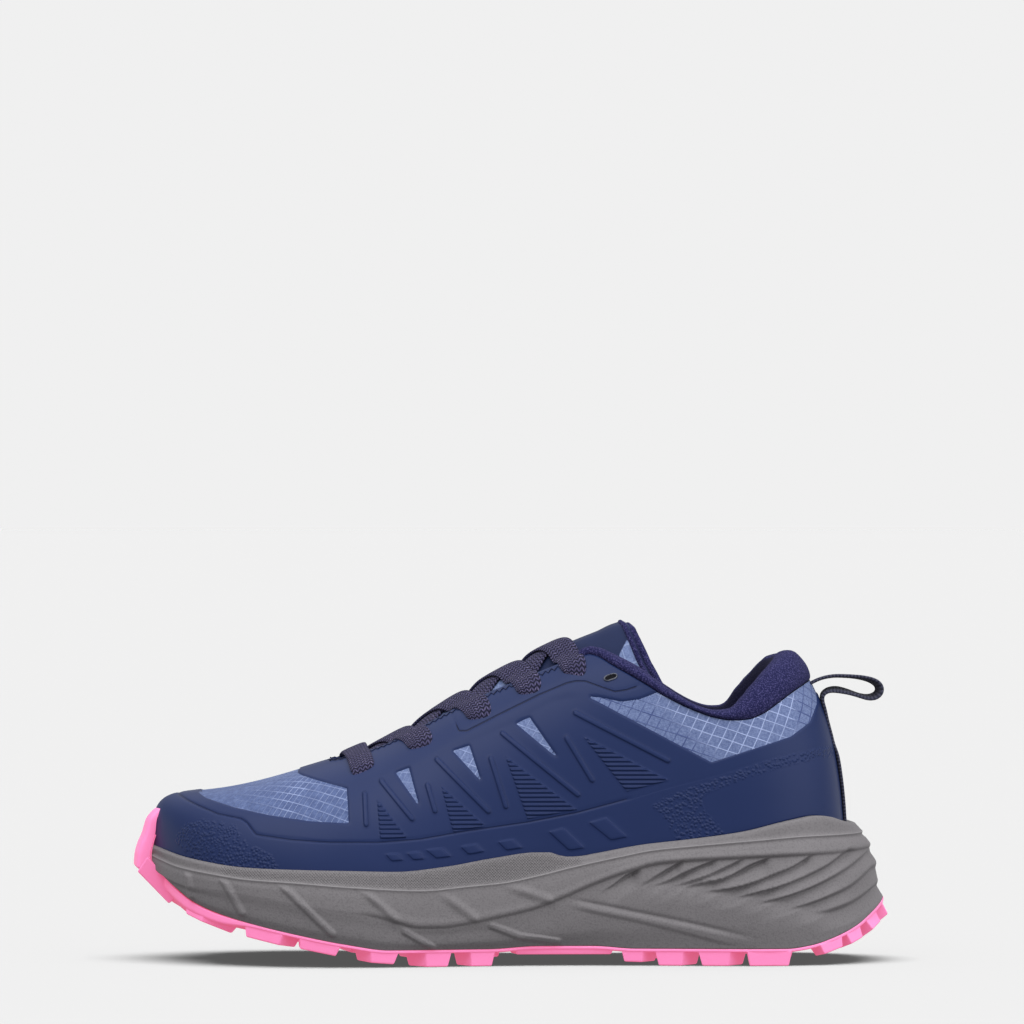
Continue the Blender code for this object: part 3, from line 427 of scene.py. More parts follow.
# Suns: strength, angular size, tilt and turn, in degrees. The last one lights the floor alone.
SUNS = (("key", 1.22, 45, 42, -28), ("fill", 1.3, 60, 66, 58), ("floor light", 57.2, 70, 0, 0))
CAMERA = (0.00114, -2.4, 0.166)
SEEN_WIDTH = 0.3803
SENSOR = 36.0


def hermite(t, a, b, leave, arrive):
    """Cubic from a at t = 0 to b at t = 1 with the given slopes at both ends."""
    keep = (1 + 2 * t) * (1 - t) ** 2 * a + t * t * (3 - 2 * t) * b
    return keep + t * (1 - t) ** 2 * leave + t * t * (t - 1) * arrive


def cubic_rows(xs, ys, x):
    """Cubic runs through each row of values ys at xs, read at x: the slopes are harmonic means of
    the straight slopes on both sides, so that no run overshoots."""
    step = np.diff(xs)
    slope = np.diff(ys, axis=1) / step
    before, after = slope[:, :-1], slope[:, 1:]
    same = before * after > 0
    weight_a = 2 * step[1:] + step[:-1]
    weight_b = step[1:] + 2 * step[:-1]
    share = weight_a / np.where(same, before, 1.0) + weight_b / np.where(same, after, 1.0)
    inner = np.where(same, (weight_a + weight_b) / share, 0.0)
    tangent = np.concatenate([slope[:, :1], inner, slope[:, -1:]], 1)
    x = np.clip(x, xs[0], xs[-1])
    i = np.clip(np.searchsorted(xs, x, side="right") - 1, 0, len(step) - 1)
    t = (x - xs[i]) / step[i]
    return hermite(t, ys[:, i], ys[:, i + 1], step[i] * tangent[:, i], step[i] * tangent[:, i + 1])


def line(rows):
    """Smooth function through (x, value) rows that never overshoots."""
    xs, ys = np.array(rows, float).T

    def value(x):
        """The line read at any x."""
        x = np.asarray(x, float)
        return cubic_rows(xs, ys[None], x.ravel())[0].reshape(x.shape)

    return value


def closed_spline(knots, values, period):
    """Cubic curve through periodic values: one linear system gives the slopes at the knots."""
    n = len(knots)
    step = np.diff(np.append(knots, knots[0] + period))
    slope = np.diff(np.append(values, values[0])) / step
    before = np.roll(step, 1)
    at = np.arange(n)
    matrix = np.zeros((n, n))
    matrix[at, at - 1] += step
    matrix[at, at] += 2 * (before + step)
    matrix[at, (at + 1) % n] += before
    tangent = np.linalg.solve(matrix, 3 * (step * np.roll(slope, 1) + before * slope))

    def value(w):
        """The curve read at any place round its period."""
        w = np.mod(np.asarray(w, float), period)
        i = np.searchsorted(knots, w, side="right") - 1
        j = (i + 1) % n
        t = (w - knots[i]) / step[i]
        return hermite(t, values[i], values[j], step[i] * tangent[i], step[i] * tangent[j])

    return value


ground_z = line(GROUND_LINE)
bed_z = line(BED_LINE)
rim_z = line(RIM_LINE)
bead_z = line(BEAD_LINE)
step_z = line(STEP_LINE)
lower_z = line(LOWER_FILM_LINE)
collar_z = line(COLLAR_LINE)
throat_half = line(THROAT_LINE)
roll_height = line(COLLAR_ROLL)
pad_depth = line(COLLAR_PAD)
lining_drop = line(COLLAR_DROP)

last = dict(zip(LAST_COLUMNS, np.array(LAST_ROWS).T))
chord_lateral = np.hypot(np.diff(last["x"]), np.diff(last["lateral"]))
chord_medial = np.hypot(np.diff(last["x"]), np.diff(last["medial"]))
half_knots = np.concatenate([[0.0], np.cumsum((chord_lateral + chord_medial) / 2)])
HALF = half_knots[-1]
PERIOD = 2 * HALF
ring_knots = np.concatenate([half_knots, PERIOD - half_knots[-2:0:-1]])


def ring(lateral, medial):
    """Periodic spline with the lateral rows first and the medial rows coming back."""
    return closed_spline(ring_knots, np.concatenate([lateral, np.asarray(medial)[-2:0:-1]]), PERIOD)


edge_x = ring(last["x"], last["x"])
edge_y = ring(-last["lateral"], last["medial"])
ridge_x, ridge_y, ridge_z, square = (ring(last[key], last[key]) for key in LAST_COLUMNS[3:])
wall_out = {name: ring(column, column) for name, column in zip(WALL_COLUMNS, np.array(WALL_ROWS).T)}
TURNS = np.concatenate([
    np.linspace(0, 0.04, 14)[:-1], np.linspace(0.04, 0.96, 190), np.linspace(0.96, 1, 20)[1:],
])


def unit(vectors):
    """Vectors divided by their lengths."""
    return vectors / np.maximum(np.linalg.norm(vectors, axis=-1, keepdims=True), 1e-9)


def run_along(path):
    """Running length of a path at each of its points."""
    return np.concatenate([[0], np.cumsum(np.linalg.norm(np.diff(path, axis=0), axis=1))])


def bulge(value, power):
    """A sine or cosine raised to a power, its sign kept."""
    return np.sign(value) * np.abs(value) ** power


def level(height):
    """Side-view line at one height."""
    return lambda x: x * 0 + height


def ring_columns(count):
    """Columns round the shoe, mirror images of each other, closer at the heel and the toe."""
    lap = np.linspace(0.0, 2.0, count, endpoint=False)
    return HALF * (lap - CROWD * np.sin(2 * math.pi * lap) / (2 * math.pi))


def edge_normal(w):
    """Outward direction in plan at the edge of the foot bed: the edge's travel turned square."""
    h = 0.5
    tx = edge_x(w + h) - edge_x(w - h)
    ty = edge_y(w + h) - edge_y(w - h)
    size = np.hypot(tx, ty)
    return -ty / size, tx / size


def edge_point(w, out, z):
    """Point at a distance out from the foot bed's edge, at height z."""
    nx, ny = edge_normal(w)
    return np.stack(np.broadcast_arrays(edge_x(w) + out * nx, edge_y(w) + out * ny, z), -1)


def spine_line(w):
    """Middle line of the sole in plan for each column: 0.8 of the edge's x and 0.4 of the sum of both
    sides' y."""
    return np.stack([0.8 * edge_x(w), 0.4 * (edge_y(w) + edge_y(PERIOD - w))], 1)


def last_point(w, turn):
    """Point of the closed last: a superellipse arc from the foot bed's edge at turn 0 to the
    ridge at turn 1, its exponent read from the table."""
    w, turn = np.broadcast_arrays(np.asarray(w, float), np.asarray(turn, float))
    angle = np.clip(turn, 0.0, 1.0) * math.pi / 2
    power = 2.0 / square(w)
    across = 1.0 - np.cos(angle).clip(0.0) ** power
    rise = np.sin(angle) ** power
    bx, by = edge_x(w), edge_y(w)
    bz = bed_z(bx) + GAP
    x = bx + (ridge_x(w) - bx) * across
    y = by + (ridge_y(w) - by) * across
    z = bz + (ridge_z(w) - bz) * rise
    return np.stack([x, y, z], -1)


def sections(w):
    """The last cut at columns w: fine polylines from foot bed to ridge and their running length."""
    cloud = last_point(w[:, None], TURNS[None, :])
    run = np.linalg.norm(np.diff(cloud, axis=1), axis=2)
    return cloud, np.concatenate([np.zeros((len(w), 1)), np.cumsum(run, axis=1)], 1)


def reach(cut, value):
    """Running length at which a field first turns positive on each section, read between the
    two samples on either side; the full length where it never does."""
    length = cut[1]
    hit = value > 0
    found = hit.any(1)
    i = np.maximum(np.where(found, hit.argmax(1), value.shape[1] - 1), 1)
    n = np.arange(len(value))
    a, b = value[n, i - 1], value[n, i]
    t = np.where(found, np.clip(-a / np.where(b == a, 1.0, b - a), 0.0, 1.0), 1.0)
    return length[n, i - 1] + t * (length[n, i] - length[n, i - 1])


def points_at(cut, s):
    """Points of each section at running lengths s, one row of lengths for each section."""
    cloud, length = cut
    shift = np.arange(len(length))[:, None] * (length.max() + 50.0)
    want = (np.clip(s, 0.0, length[:, -1:]) + shift).ravel()
    key = (length + shift).ravel()
    found = [np.interp(want, key, cloud[..., k].ravel()) for k in range(3)]
    return np.stack(found, -1).reshape(s.shape + (3,))


def throat_middle(x):
    """Middle of the throat in plan."""
    return np.interp(x, last["x_ridge"][::-1], last["y_ridge"][::-1])


def opening(points):
    """Positive inside the throat and above the collar line."""
    x, y, z = np.moveaxis(points, -1, 0)
    open_here = (x > THROAT_FRONT) & (x < THROAT_BACK) & (z > THROAT_LOW)
    throat = np.where(open_here, throat_half(x) - np.abs(y - throat_middle(x)), -1.0)
    collar = np.where(x > COLLAR_LINE[0][0] + 2.0, z - collar_z(x), -1.0)
    return np.maximum(throat, collar)


def above(cut, height):
    """Field that is positive above a side-view line."""
    return cut[0][..., 2] - height(cut[0][..., 0])


def outward(points, closed):
    """Unit normals of a grid: its upward travel crossed with its travel round the shoe."""
    if closed:
        along = np.roll(points, -1, 0) - np.roll(points, 1, 0)
    else:
        along = np.gradient(points, axis=0)
    normal = np.cross(np.gradient(points, axis=1), along)
    normal[:, -1] = normal[:, -2]
    normal = unit(normal)
    pole = np.array([ridge_x(HALF), ridge_y(HALF), ridge_z(HALF)])
    near = fade(np.linalg.norm(points - pole, axis=-1, keepdims=True), *POLE_BLEND)
    return normal * (1 - near) + POLE_NORMAL * near


def fade(value, start, end):
    """Smooth step from 0 at start to 1 at end, level outside; it falls where start is the larger one."""
    t = np.clip((value - start) / (end - start), 0.0, 1.0)
    return t * t * (3 - 2 * t)


def close_ridge(skin, top, cut, mirror):
    """Columns that reach the ridge end on the mean of their own end and their mirror image's."""
    meet = top > cut[1][:, -1] - 1e-6
    skin[meet, -1] = ((skin + skin[mirror]) / 2)[meet, -1]


def to_line(x, z, corners, closed=False):
    """Distance in the side view to a chain of straight runs: the least over its runs."""
    chain = list(corners) + ([corners[0]] if closed else [])
    best = np.full(np.shape(x), 1e9)
    for (ax, az), (bx, bz) in zip(chain[:-1], chain[1:]):
        dx, dz = bx - ax, bz - az
        t = np.clip(((x - ax) * dx + (z - az) * dz) / max(dx * dx + dz * dz, 1e-9), 0, 1)
        best = np.minimum(best, np.hypot(x - ax - t * dx, z - az - t * dz))
    return best


def inside(x, z, corners):
    """Signed distance to a closed outline, positive inside: parity of crossings gives the sign."""
    odd = np.zeros(np.shape(x), bool)
    chain = list(corners) + [corners[0]]
    for (ax, az), (bx, bz) in zip(chain[:-1], chain[1:]):
        if az != bz:
            cross = (az > z) != (bz > z)
            odd ^= cross & (x < ax + (bx - ax) * (z - az) / (bz - az))
    away = to_line(x, z, corners, True)
    return np.where(odd, away, -away)


def true_distance(field, points, closed):
    """A side-view distance made a distance on the surface: divided by its own slope there."""
    if closed:
        fu = (np.roll(field, -1, 0) - np.roll(field, 1, 0)) / 2
        pu = (np.roll(points, -1, 0) - np.roll(points, 1, 0)) / 2
    else:
        fu, pu = np.gradient(field, axis=0), np.gradient(points, axis=0)
    fv, pv = np.gradient(field, axis=1), np.gradient(points, axis=1)
    e, f, g = (pu * pu).sum(-1), (pu * pv).sum(-1), (pv * pv).sum(-1)
    slope = (g * fu * fu - 2 * f * fu * fv + e * fv * fv) / np.maximum(e * g - f * f, 1e-9)
    return field / np.sqrt(np.clip(slope, 0.09, 4.0))


def grid_faces(n, m, closed):
    """Quads of an n by m grid of points, their faces turned outwards."""
    i = np.arange(n if closed else n - 1)[:, None]
    j = np.arange(m - 1)[None, :]
    k = (i + 1) % n
    return np.stack([i * m + j, i * m + j + 1, k * m + j + 1, k * m + j], -1).reshape(-1, 4)


def grid_uv(u, v, lap=None):
    """Loop coordinates of the same quads; the column that closes a grid lies one lap on."""
    if lap is not None:
        u = np.concatenate([u, u[:1] + lap], 0)
        v = np.concatenate([v, v[:1]], 0)
    low, high = slice(None, -1), slice(1, None)
    corners = ((low, low), (low, high), (high, high), (high, low))
    return np.stack([np.stack([u[c], v[c]], -1) for c in corners], 2).reshape(-1, 4, 2)


def add_piece(name, points, faces, material, nodes=(), uv=None, marks=None, weld=None, keep=None):
    """Mesh of points in mm and quads or triangles, smooth, centred like the frame, riding on root."""
    points = np.asarray(points, float).reshape(-1, 3)
    faces = np.asarray(faces)
    if keep is not None:
        faces = faces[keep]
        uv = None if uv is None else uv[keep]
        used = np.unique(faces)
        slim = np.full(len(points), -1)
        slim[used] = np.arange(len(used))
        faces, points = slim[faces], points[used]
        marks = {k: v.ravel()[used] for k, v in (marks or {}).items()}
    mesh = bpy.data.meshes.new(name)
    mesh.from_pydata(((points + CENTRE) * MM).tolist(), [], faces.tolist())
    if uv is not None:
        layer = mesh.uv_layers.new(name="UVMap")
        layer.data.foreach_set("uv", np.asarray(uv, np.float32).ravel())
    for key, value in (marks or {}).items():
        mesh.attributes.new(key, "FLOAT", "POINT").data.foreach_set("value", value.astype(np.float32).ravel())
    if weld:
        bm = bmesh.new()
        bm.from_mesh(mesh)
        bmesh.ops.remove_doubles(bm, verts=bm.verts, dist=weld * MM)
        bm.to_mesh(mesh)
        bm.free()
    mesh.shade_smooth()
    made = bpy.data.objects.new(name, mesh)
    bpy.context.scene.collection.objects.link(made)
    for one in material if isinstance(material, (list, tuple)) else [material]:
        mesh.materials.append(one)
    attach(made, "root")
    if nodes:
        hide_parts(*nodes)
    return made


def thicken(piece, thick, lining=False):
    """Gives an open surface its thickness inwards."""
    skin = piece.modifiers.new("thickness", "SOLIDIFY")
    skin.thickness = thick * MM
    skin.offset = -1.0
    if lining:
        skin.material_offset = 1
        skin.material_offset_rim = 1
    return piece


def add(tree, kind, sockets=None, **settings):
    """One node; its sockets take numbers, colours or the outputs of other nodes."""
    made = tree.nodes.new(kind)
    for key, value in settings.items():
        setattr(made, key, value)
    for key, value in (sockets or {}).items():
        if isinstance(value, bpy.types.NodeSocket):
            tree.links.new(value, made.inputs[key])
        else:
            made.inputs[key].default_value = value
    return made


def calc(tree, operation, *values):
    """Math node on one to three values."""
    return add(tree, "ShaderNodeMath", dict(enumerate(values)), operation=operation).outputs[0]


def product(tree, *values):
    """Values multiplied one after the other."""
    whole = values[0]
    for value in values[1:]:
        whole = calc(tree, "MULTIPLY", whole, value)
    return whole


def largest(tree, *values):
    """The largest of several values."""
    best = values[0]
    for value in values[1:]:
        best = calc(tree, "MAXIMUM", best, value)
    return best


def total(tree, *terms):
    """Sum of values, each times its height in millimetres."""
    height = 0.0
    for value, size in terms:
        height = calc(tree, "MULTIPLY_ADD", value, size, height)
    return height


def span(tree, value, low, high, to_low=0.0, to_high=1.0):
    """Smooth step of a value between low and high."""
    sockets = {0: value, 1: low, 2: high, 3: to_low, 4: to_high}
    return add(tree, "ShaderNodeMapRange", sockets, interpolation_type="SMOOTHSTEP").outputs[0]


def mix(tree, factor, a, b):
    """Colour a turned into colour b by a factor."""
    sockets = {0: factor, 6: a, 7: b}
    return add(tree, "ShaderNodeMix", sockets, data_type="RGBA").outputs[2]


def mark(tree, name):
    """A number kept on the mesh's points."""
    return add(tree, "ShaderNodeAttribute", attribute_name=name).outputs["Fac"]


def place(tree, kind="Object"):
    """Object coordinates in metres, or the UV map in millimetres."""
    return add(tree, "ShaderNodeTexCoord").outputs[kind]


def noise(tree, where, scale, detail=2.0, rough=0.5):
    """Noise value at a scale given in repeats for each unit of its coordinates."""
    sockets = {"Vector": where, "Scale": scale, "Detail": detail, "Roughness": rough}
    return add(tree, "ShaderNodeTexNoise", sockets).outputs[0]


def parts_of(tree, vector):
    """The three numbers of a vector."""
    return add(tree, "ShaderNodeSeparateXYZ", {0: vector}).outputs


def wave(tree, value, pitch, shift=0.0):
    """Sine wave of a length, from 0 to 1, with the given pitch."""
    turn = calc(tree, "MULTIPLY_ADD", value, 2 * math.pi / pitch, shift)
    return calc(tree, "MULTIPLY_ADD", calc(tree, "SINE", turn), 0.5, 0.5)


def threads(tree, u, v, pitch, core, rim, waver=0.0):
    """Square grid of threads: lines at half of each pitch in u and in v, full within the core and
    gone at the rim, both as shares of the pitch."""
    lines = []
    for along in (u, v):
        lap = calc(tree, "FRACT", calc(tree, "ADD", calc(tree, "DIVIDE", along, pitch), waver))
        away = calc(tree, "ABSOLUTE", calc(tree, "SUBTRACT", lap, 0.5))
        lines.append(span(tree, away, core, rim, 1.0, 0.0))
    return largest(tree, *lines)


def rgb(red, green, blue):
    """Colour in linear light, fully opaque."""
    return (red, green, blue, 1.0)


def paint(name, rough, specular=0.5, sheen=0.0):
    """Principled material with its constant finish, its tree and its shader."""
    made = bpy.data.materials.new(name)
    made.use_nodes = True
    shader = made.node_tree.nodes["Principled BSDF"]
    shader.inputs["Roughness"].default_value = rough
    shader.inputs["Specular IOR Level"].default_value = specular
    shader.inputs["Sheen Weight"].default_value = sheen
    shader.inputs["Sheen Roughness"].default_value = 0.6
    return made, made.node_tree, shader


def finish(tree, shader, colour, height, strength=1.0):
    """Joins a colour and a relief in millimetres to the shader."""
    tree.links.new(colour, shader.inputs["Base Color"])
    bump = add(tree, "ShaderNodeBump", {"Strength": strength, "Distance": MM, "Height": height})
    tree.links.new(bump.outputs[0], shader.inputs["Normal"])


def film_paint():
    """Welded navy film: fine grain, pebbled patches, grooves, ribs and raised bars and blocks, with painted
    shade darkening the grooves and a thin line along each bar's edge.
    """
    made, tree, shader = paint("navy film", 0.46, 0.2)
    where = place(tree)
    grain = noise(tree, where, 2600.0, 2.0)
    soft = noise(tree, where, 45.0, 3.0)
    pebble_mask = span(tree, mark(tree, "pebble"), -0.5, 1.2)
    cells = add(tree, "ShaderNodeTexVoronoi", {"Vector": where, "Scale": 860.0, "Randomness": 1.0})
    pebbles = span(tree, cells.outputs[0], 0.1, 0.7, 1.0, 0.0)
    x, _, z = (calc(tree, "DIVIDE", part, MM) for part in parts_of(tree, where))
    ribs = wave(tree, z, RIB_PITCH)
    rib_mask = span(tree, mark(tree, "rib"), -0.1, 0.5)
    grooves = []
    for name, run, deep in (("groove", EYESTAY_GROOVE, 1.0), ("seam", GUARD_GROOVE, 0.55)):
        cut = span(tree, calc(tree, "ABSOLUTE", mark(tree, name)), 0.08, 0.38, deep, 0.0)
        front = span(tree, x, run[0][0] + 1, run[0][0] + 2)
        back = span(tree, x, run[-1][0] - 1, run[-1][0], 1.0, 0.0)
        grooves.append(product(tree, cut, front, back))
    groove = largest(tree, *grooves)
    bar = mark(tree, "bar")
    # a thin ring just outside each bar's edge, darkened as painted shade
    bar_edge_shade = span(tree, calc(tree, "ABSOLUTE", calc(tree, "ADD", bar, 0.15)), 0.05, 0.4, 1.0, 0.0)
    ridge = span(tree, bar, -0.15, 0.5)
    block = span(tree, mark(tree, "block"), -0.1, 0.3)
    pebbled = product(tree, pebbles, pebble_mask)
    ribbed = product(tree, ribs, rib_mask)
    height = total(
        tree, (grain, 0.018), (pebbled, 0.26), (ribbed, 0.55), (groove, -0.22), (ridge, 0.34), (block, 0.22),
    )
    colour = mix(tree, soft, rgb(0.009, 0.021, 0.084), rgb(0.0125, 0.0255, 0.097))
    # painted shade: grooves and bar edges are darkened where shade falls in them
    dark = largest(tree, product(tree, groove, 0.85), product(tree, bar_edge_shade, 0.2))
    colour = mix(tree, dark, colour, rgb(0.006, 0.009, 0.032))
    finish(tree, shader, colour, height)
    return made


def ripstop_paint():
    """Light ripstop: a heathered ground under a fine weave, with thicker threads in a square grid
    that are faint near the toe, and dark in the ankle window's front and at the heel."""
    made, tree, shader = paint("blue ripstop", 0.7, 0.2, 0.05)
    u, v, _ = parts_of(tree, place(tree, "UV"))
    where = place(tree)
    waver = product(tree, calc(tree, "SUBTRACT", noise(tree, where, 160.0, 1.0), 0.5), 0.08)
    lines = threads(tree, u, v, RIPSTOP_PITCH, 0.03, 0.07, waver)
    weave = product(tree, wave(tree, u, 0.62), wave(tree, v, 0.62))
    heather = noise(tree, where, 1100.0, 3.0, 0.7)
    colour = mix(tree, span(tree, heather, 0.3, 0.7), rgb(0.092, 0.128, 0.270), rgb(0.165, 0.215, 0.395))
    x, _, z = parts_of(tree, where)
    strong = span(tree, noise(tree, where, 90.0, 2.0), 0.35, 0.65, 0.35, 1.0)
    strong = product(tree, strong, span(tree, x, -0.106, -0.078, 0.05, 0.8))
    strong = calc(tree, "MULTIPLY_ADD", span(tree, x, 0.0, 0.03), 0.3, strong)
    blotch = span(tree, noise(tree, where, 420.0, 3.0, 0.7), 0.35, 0.6)
    patchy = product(tree, span(tree, x, -0.062, -0.03, 0.5, 0.0), blotch)
    colour = mix(tree, span(tree, x, -0.05, -0.03, 0.5, 0.0), colour, rgb(0.062, 0.100, 0.245))
    colour = mix(tree, patchy, colour, rgb(0.040, 0.062, 0.165))
    diagonal = total(tree, (z, 0.775), (x, 0.632))
    dim = product(tree, span(tree, diagonal, 0.105, 0.111, 1.0, 0.0), span(tree, x, 0.018, 0.026))
    dim = largest(tree, dim, span(tree, x, 0.104, 0.107))
    thread = mix(tree, dim, rgb(0.33, 0.40, 0.65), rgb(0.050, 0.075, 0.21))
    colour = mix(tree, product(tree, lines, strong), colour, thread)
    finish(tree, shader, colour, total(tree, (weave, 0.06), (lines, 0.10)))
    return made


def knit_paint():
    """Brushed knit: flecks of two yarns over small loops, with painted shade making it near black on the
    collar's inner side.
    """
    made, tree, shader = paint("navy knit", 0.95, 0.06, 0.02)
    where = place(tree)
    fleck = noise(tree, where, 2000.0, 2.5, 0.65)
    loops = add(tree, "ShaderNodeTexVoronoi", {"Vector": where, "Scale": 1800.0}).outputs[0]
    colour = mix(tree, span(tree, fleck, 0.46, 0.66), rgb(0.014, 0.015, 0.062), rgb(0.064, 0.060, 0.172))
    # painted shade: the collar's inner side, marked as lining, is darkened where shade falls
    lining = span(tree, mark(tree, "lining"), 0.0, 0.35, 0.0, 0.85)
    colour = mix(tree, lining, colour, rgb(0.006, 0.006, 0.018))
    finish(tree, shader, colour, total(tree, (fleck, 0.22), (loops, -0.22)))
    return made


def lace_paint():
    """Flat knitted lace: columns of slanting loops, each column leaning against the next one."""
    made, tree, shader = paint("navy lace", 0.9, 0.12, 0.04)
    u, v, _ = parts_of(tree, place(tree, "UV"))
    zigzag = calc(tree, "PINGPONG", v, 1.05)
    yarn = wave(tree, calc(tree, "ADD", zigzag, u), 1.55)
    column = wave(tree, v, 1.05, math.pi / 2)
    fleck = noise(tree, place(tree), 900.0, 2.0, 0.6)
    body = product(tree, yarn, calc(tree, "MULTIPLY_ADD", column, -0.55, 1.0))
    colour = mix(tree, span(tree, body, 0.1, 0.7), rgb(0.008, 0.008, 0.024), rgb(0.066, 0.061, 0.140))
    light = product(tree, span(tree, fleck, 0.5, 0.68), span(tree, body, 0.3, 0.8))
    colour = mix(tree, light, colour, rgb(0.150, 0.130, 0.245))
    finish(tree, shader, colour, total(tree, (body, 0.4)))
    return made


def foam_paint():
    """Grey moulded foam: fine stipple, cloudy tone, a diamond cut on the bevel under the rim and a painted
    highlight along the bead line.
    """
    made, tree, shader = paint("grey foam", 0.58, 0.35)
    where = place(tree)
    u, v, _ = parts_of(tree, place(tree, "UV"))
    stipple = noise(tree, where, 1350.0, 2.0, 0.6)
    cloud = noise(tree, where, 60.0, 3.0)
    plus = wave(tree, calc(tree, "ADD", u, v), 1.05)
    minus = wave(tree, calc(tree, "SUBTRACT", u, v), 1.05)
    cut = product(tree, plus, minus, span(tree, mark(tree, "diamond"), 0.0, 1.0))
    colour = mix(tree, cloud, rgb(0.156, 0.147, 0.156), rgb(0.184, 0.174, 0.184))
    colour = mix(tree, span(tree, stipple, 0.45, 0.72, 0.0, 0.42), colour, rgb(0.088, 0.082, 0.090))
    colour = mix(tree, product(tree, cut, 0.25), colour, rgb(0.24, 0.23, 0.24))
    # painted highlight: a lighter line along the bead, where its ledge faces the light
    colour = mix(tree, span(tree, mark(tree, "bead"), 0.2, 0.9, 0.0, 0.6), colour, rgb(0.30, 0.288, 0.30))
    finish(tree, shader, colour, total(tree, (stipple, 0.12), (cut, 0.25)))
    return made


def rubber_paint():
    """Pink rubber: satin, a faint moulded grain, and a red glow that is painted light, keeping its shaded
    faces pink.
    """
    made, tree, shader = paint("pink rubber", 0.5, 0.4)
    where = place(tree)
    cloud = noise(tree, where, 90.0, 2.0)
    grain = noise(tree, where, 2000.0, 2.0)
    colour = mix(tree, cloud, rgb(0.58, 0.275, 0.59), rgb(0.61, 0.305, 0.63))
    # painted light: a red glow that lifts the rubber's shaded faces
    shader.inputs["Emission Color"].default_value = rgb(1.0, 0.01, 0.03)
    shader.inputs["Emission Strength"].default_value = 0.48
    finish(tree, shader, colour, total(tree, (grain, 0.03)))
    return made


def webbing_paint():
    """Narrow webbing: cross ribs with light flecks of thread at their ends."""
    made, tree, shader = paint("navy webbing", 0.85, 0.15, 0.05)
    u, v, _ = parts_of(tree, place(tree, "UV"))
    rib = wave(tree, u, 1.3)
    cord = wave(tree, v, 1.0)
    fleck = noise(tree, place(tree), 1700.0, 2.0, 0.6)
    body = product(tree, rib, calc(tree, "MULTIPLY_ADD", cord, 0.5, 0.5))
    colour = mix(tree, body, rgb(0.016, 0.017, 0.036), rgb(0.075, 0.077, 0.120))
    colour = mix(tree, span(tree, fleck, 0.55, 0.75, 0.0, 0.45), colour, rgb(0.20, 0.20, 0.27))
    finish(tree, shader, colour, total(tree, (body, 0.25)))
    return made


def cloth_paint(name, dark, light, pitch):
    """Plain lining cloth: a fine square weave of two tones."""
    made, tree, shader = paint(name, 0.9, 0.12, 0.05)
    where = place(tree)
    x, y, z = parts_of(tree, where)
    weave = product(tree, wave(tree, x, pitch * MM), wave(tree, calc(tree, "ADD", y, z), pitch * MM))
    fleck = noise(tree, where, 700.0, 3.0, 0.6)
    colour = mix(tree, span(tree, fleck, 0.3, 0.7), rgb(*dark), rgb(*light))
    finish(tree, shader, colour, total(tree, (weave, 0.12)))
    return made


def tongue_paint():
    """Tongue cover: ripstop low down and at the corner of the top, smooth navy cloth above."""
    made, tree, shader = paint("tongue cloth", 0.65, 0.2, 0.04)
    u, v, _ = parts_of(tree, place(tree, "UV"))
    where = place(tree)
    lines = threads(tree, u, v, TONGUE_PITCH, 0.035, 0.09)
    heather = noise(tree, where, 1100.0, 3.0, 0.7)
    blue = mix(tree, span(tree, heather, 0.3, 0.7), rgb(0.108, 0.150, 0.315), rgb(0.190, 0.250, 0.455))
    blue = mix(tree, product(tree, lines, 0.5), blue, rgb(0.29, 0.36, 0.58))
    navy = mix(tree, noise(tree, where, 90.0, 2.0), rgb(0.0055, 0.014, 0.060), rgb(0.008, 0.0175, 0.070))
    upper = span(tree, mark(tree, "navy"), -0.3, 0.3)
    mesh = span(tree, mark(tree, "mesh"), -0.2, 0.2)
    is_navy = largest(tree, calc(tree, "SUBTRACT", upper, mesh), 0.0)
    colour = mix(tree, is_navy, blue, navy)
    grid = product(tree, lines, calc(tree, "SUBTRACT", 1.0, is_navy))
    finish(tree, shader, colour, total(tree, (heather, 0.06), (grid, 0.1)))
    return made


FILM = film_paint()
RIPSTOP = ripstop_paint()
KNIT = knit_paint()
LACE = lace_paint()
FOAM = foam_paint()
RUBBER = rubber_paint()
WEBBING = webbing_paint()
LINING = cloth_paint("dark lining", (0.010, 0.010, 0.022), (0.022, 0.022, 0.048), 0.9)
FOOT_BED = cloth_paint("foot bed cloth", (0.016, 0.018, 0.040), (0.040, 0.042, 0.085), 0.8)
TONGUE = tongue_paint()
THREAD = cloth_paint("navy thread", (0.010, 0.014, 0.042), (0.030, 0.036, 0.090), 0.5)
RIM = cloth_paint("grey eyelet rim", (0.05, 0.055, 0.075), (0.16, 0.17, 0.21), 0.6)
HOLE = cloth_paint("eyelet shade", (0.002, 0.002, 0.004), (0.005, 0.005, 0.009), 0.6)


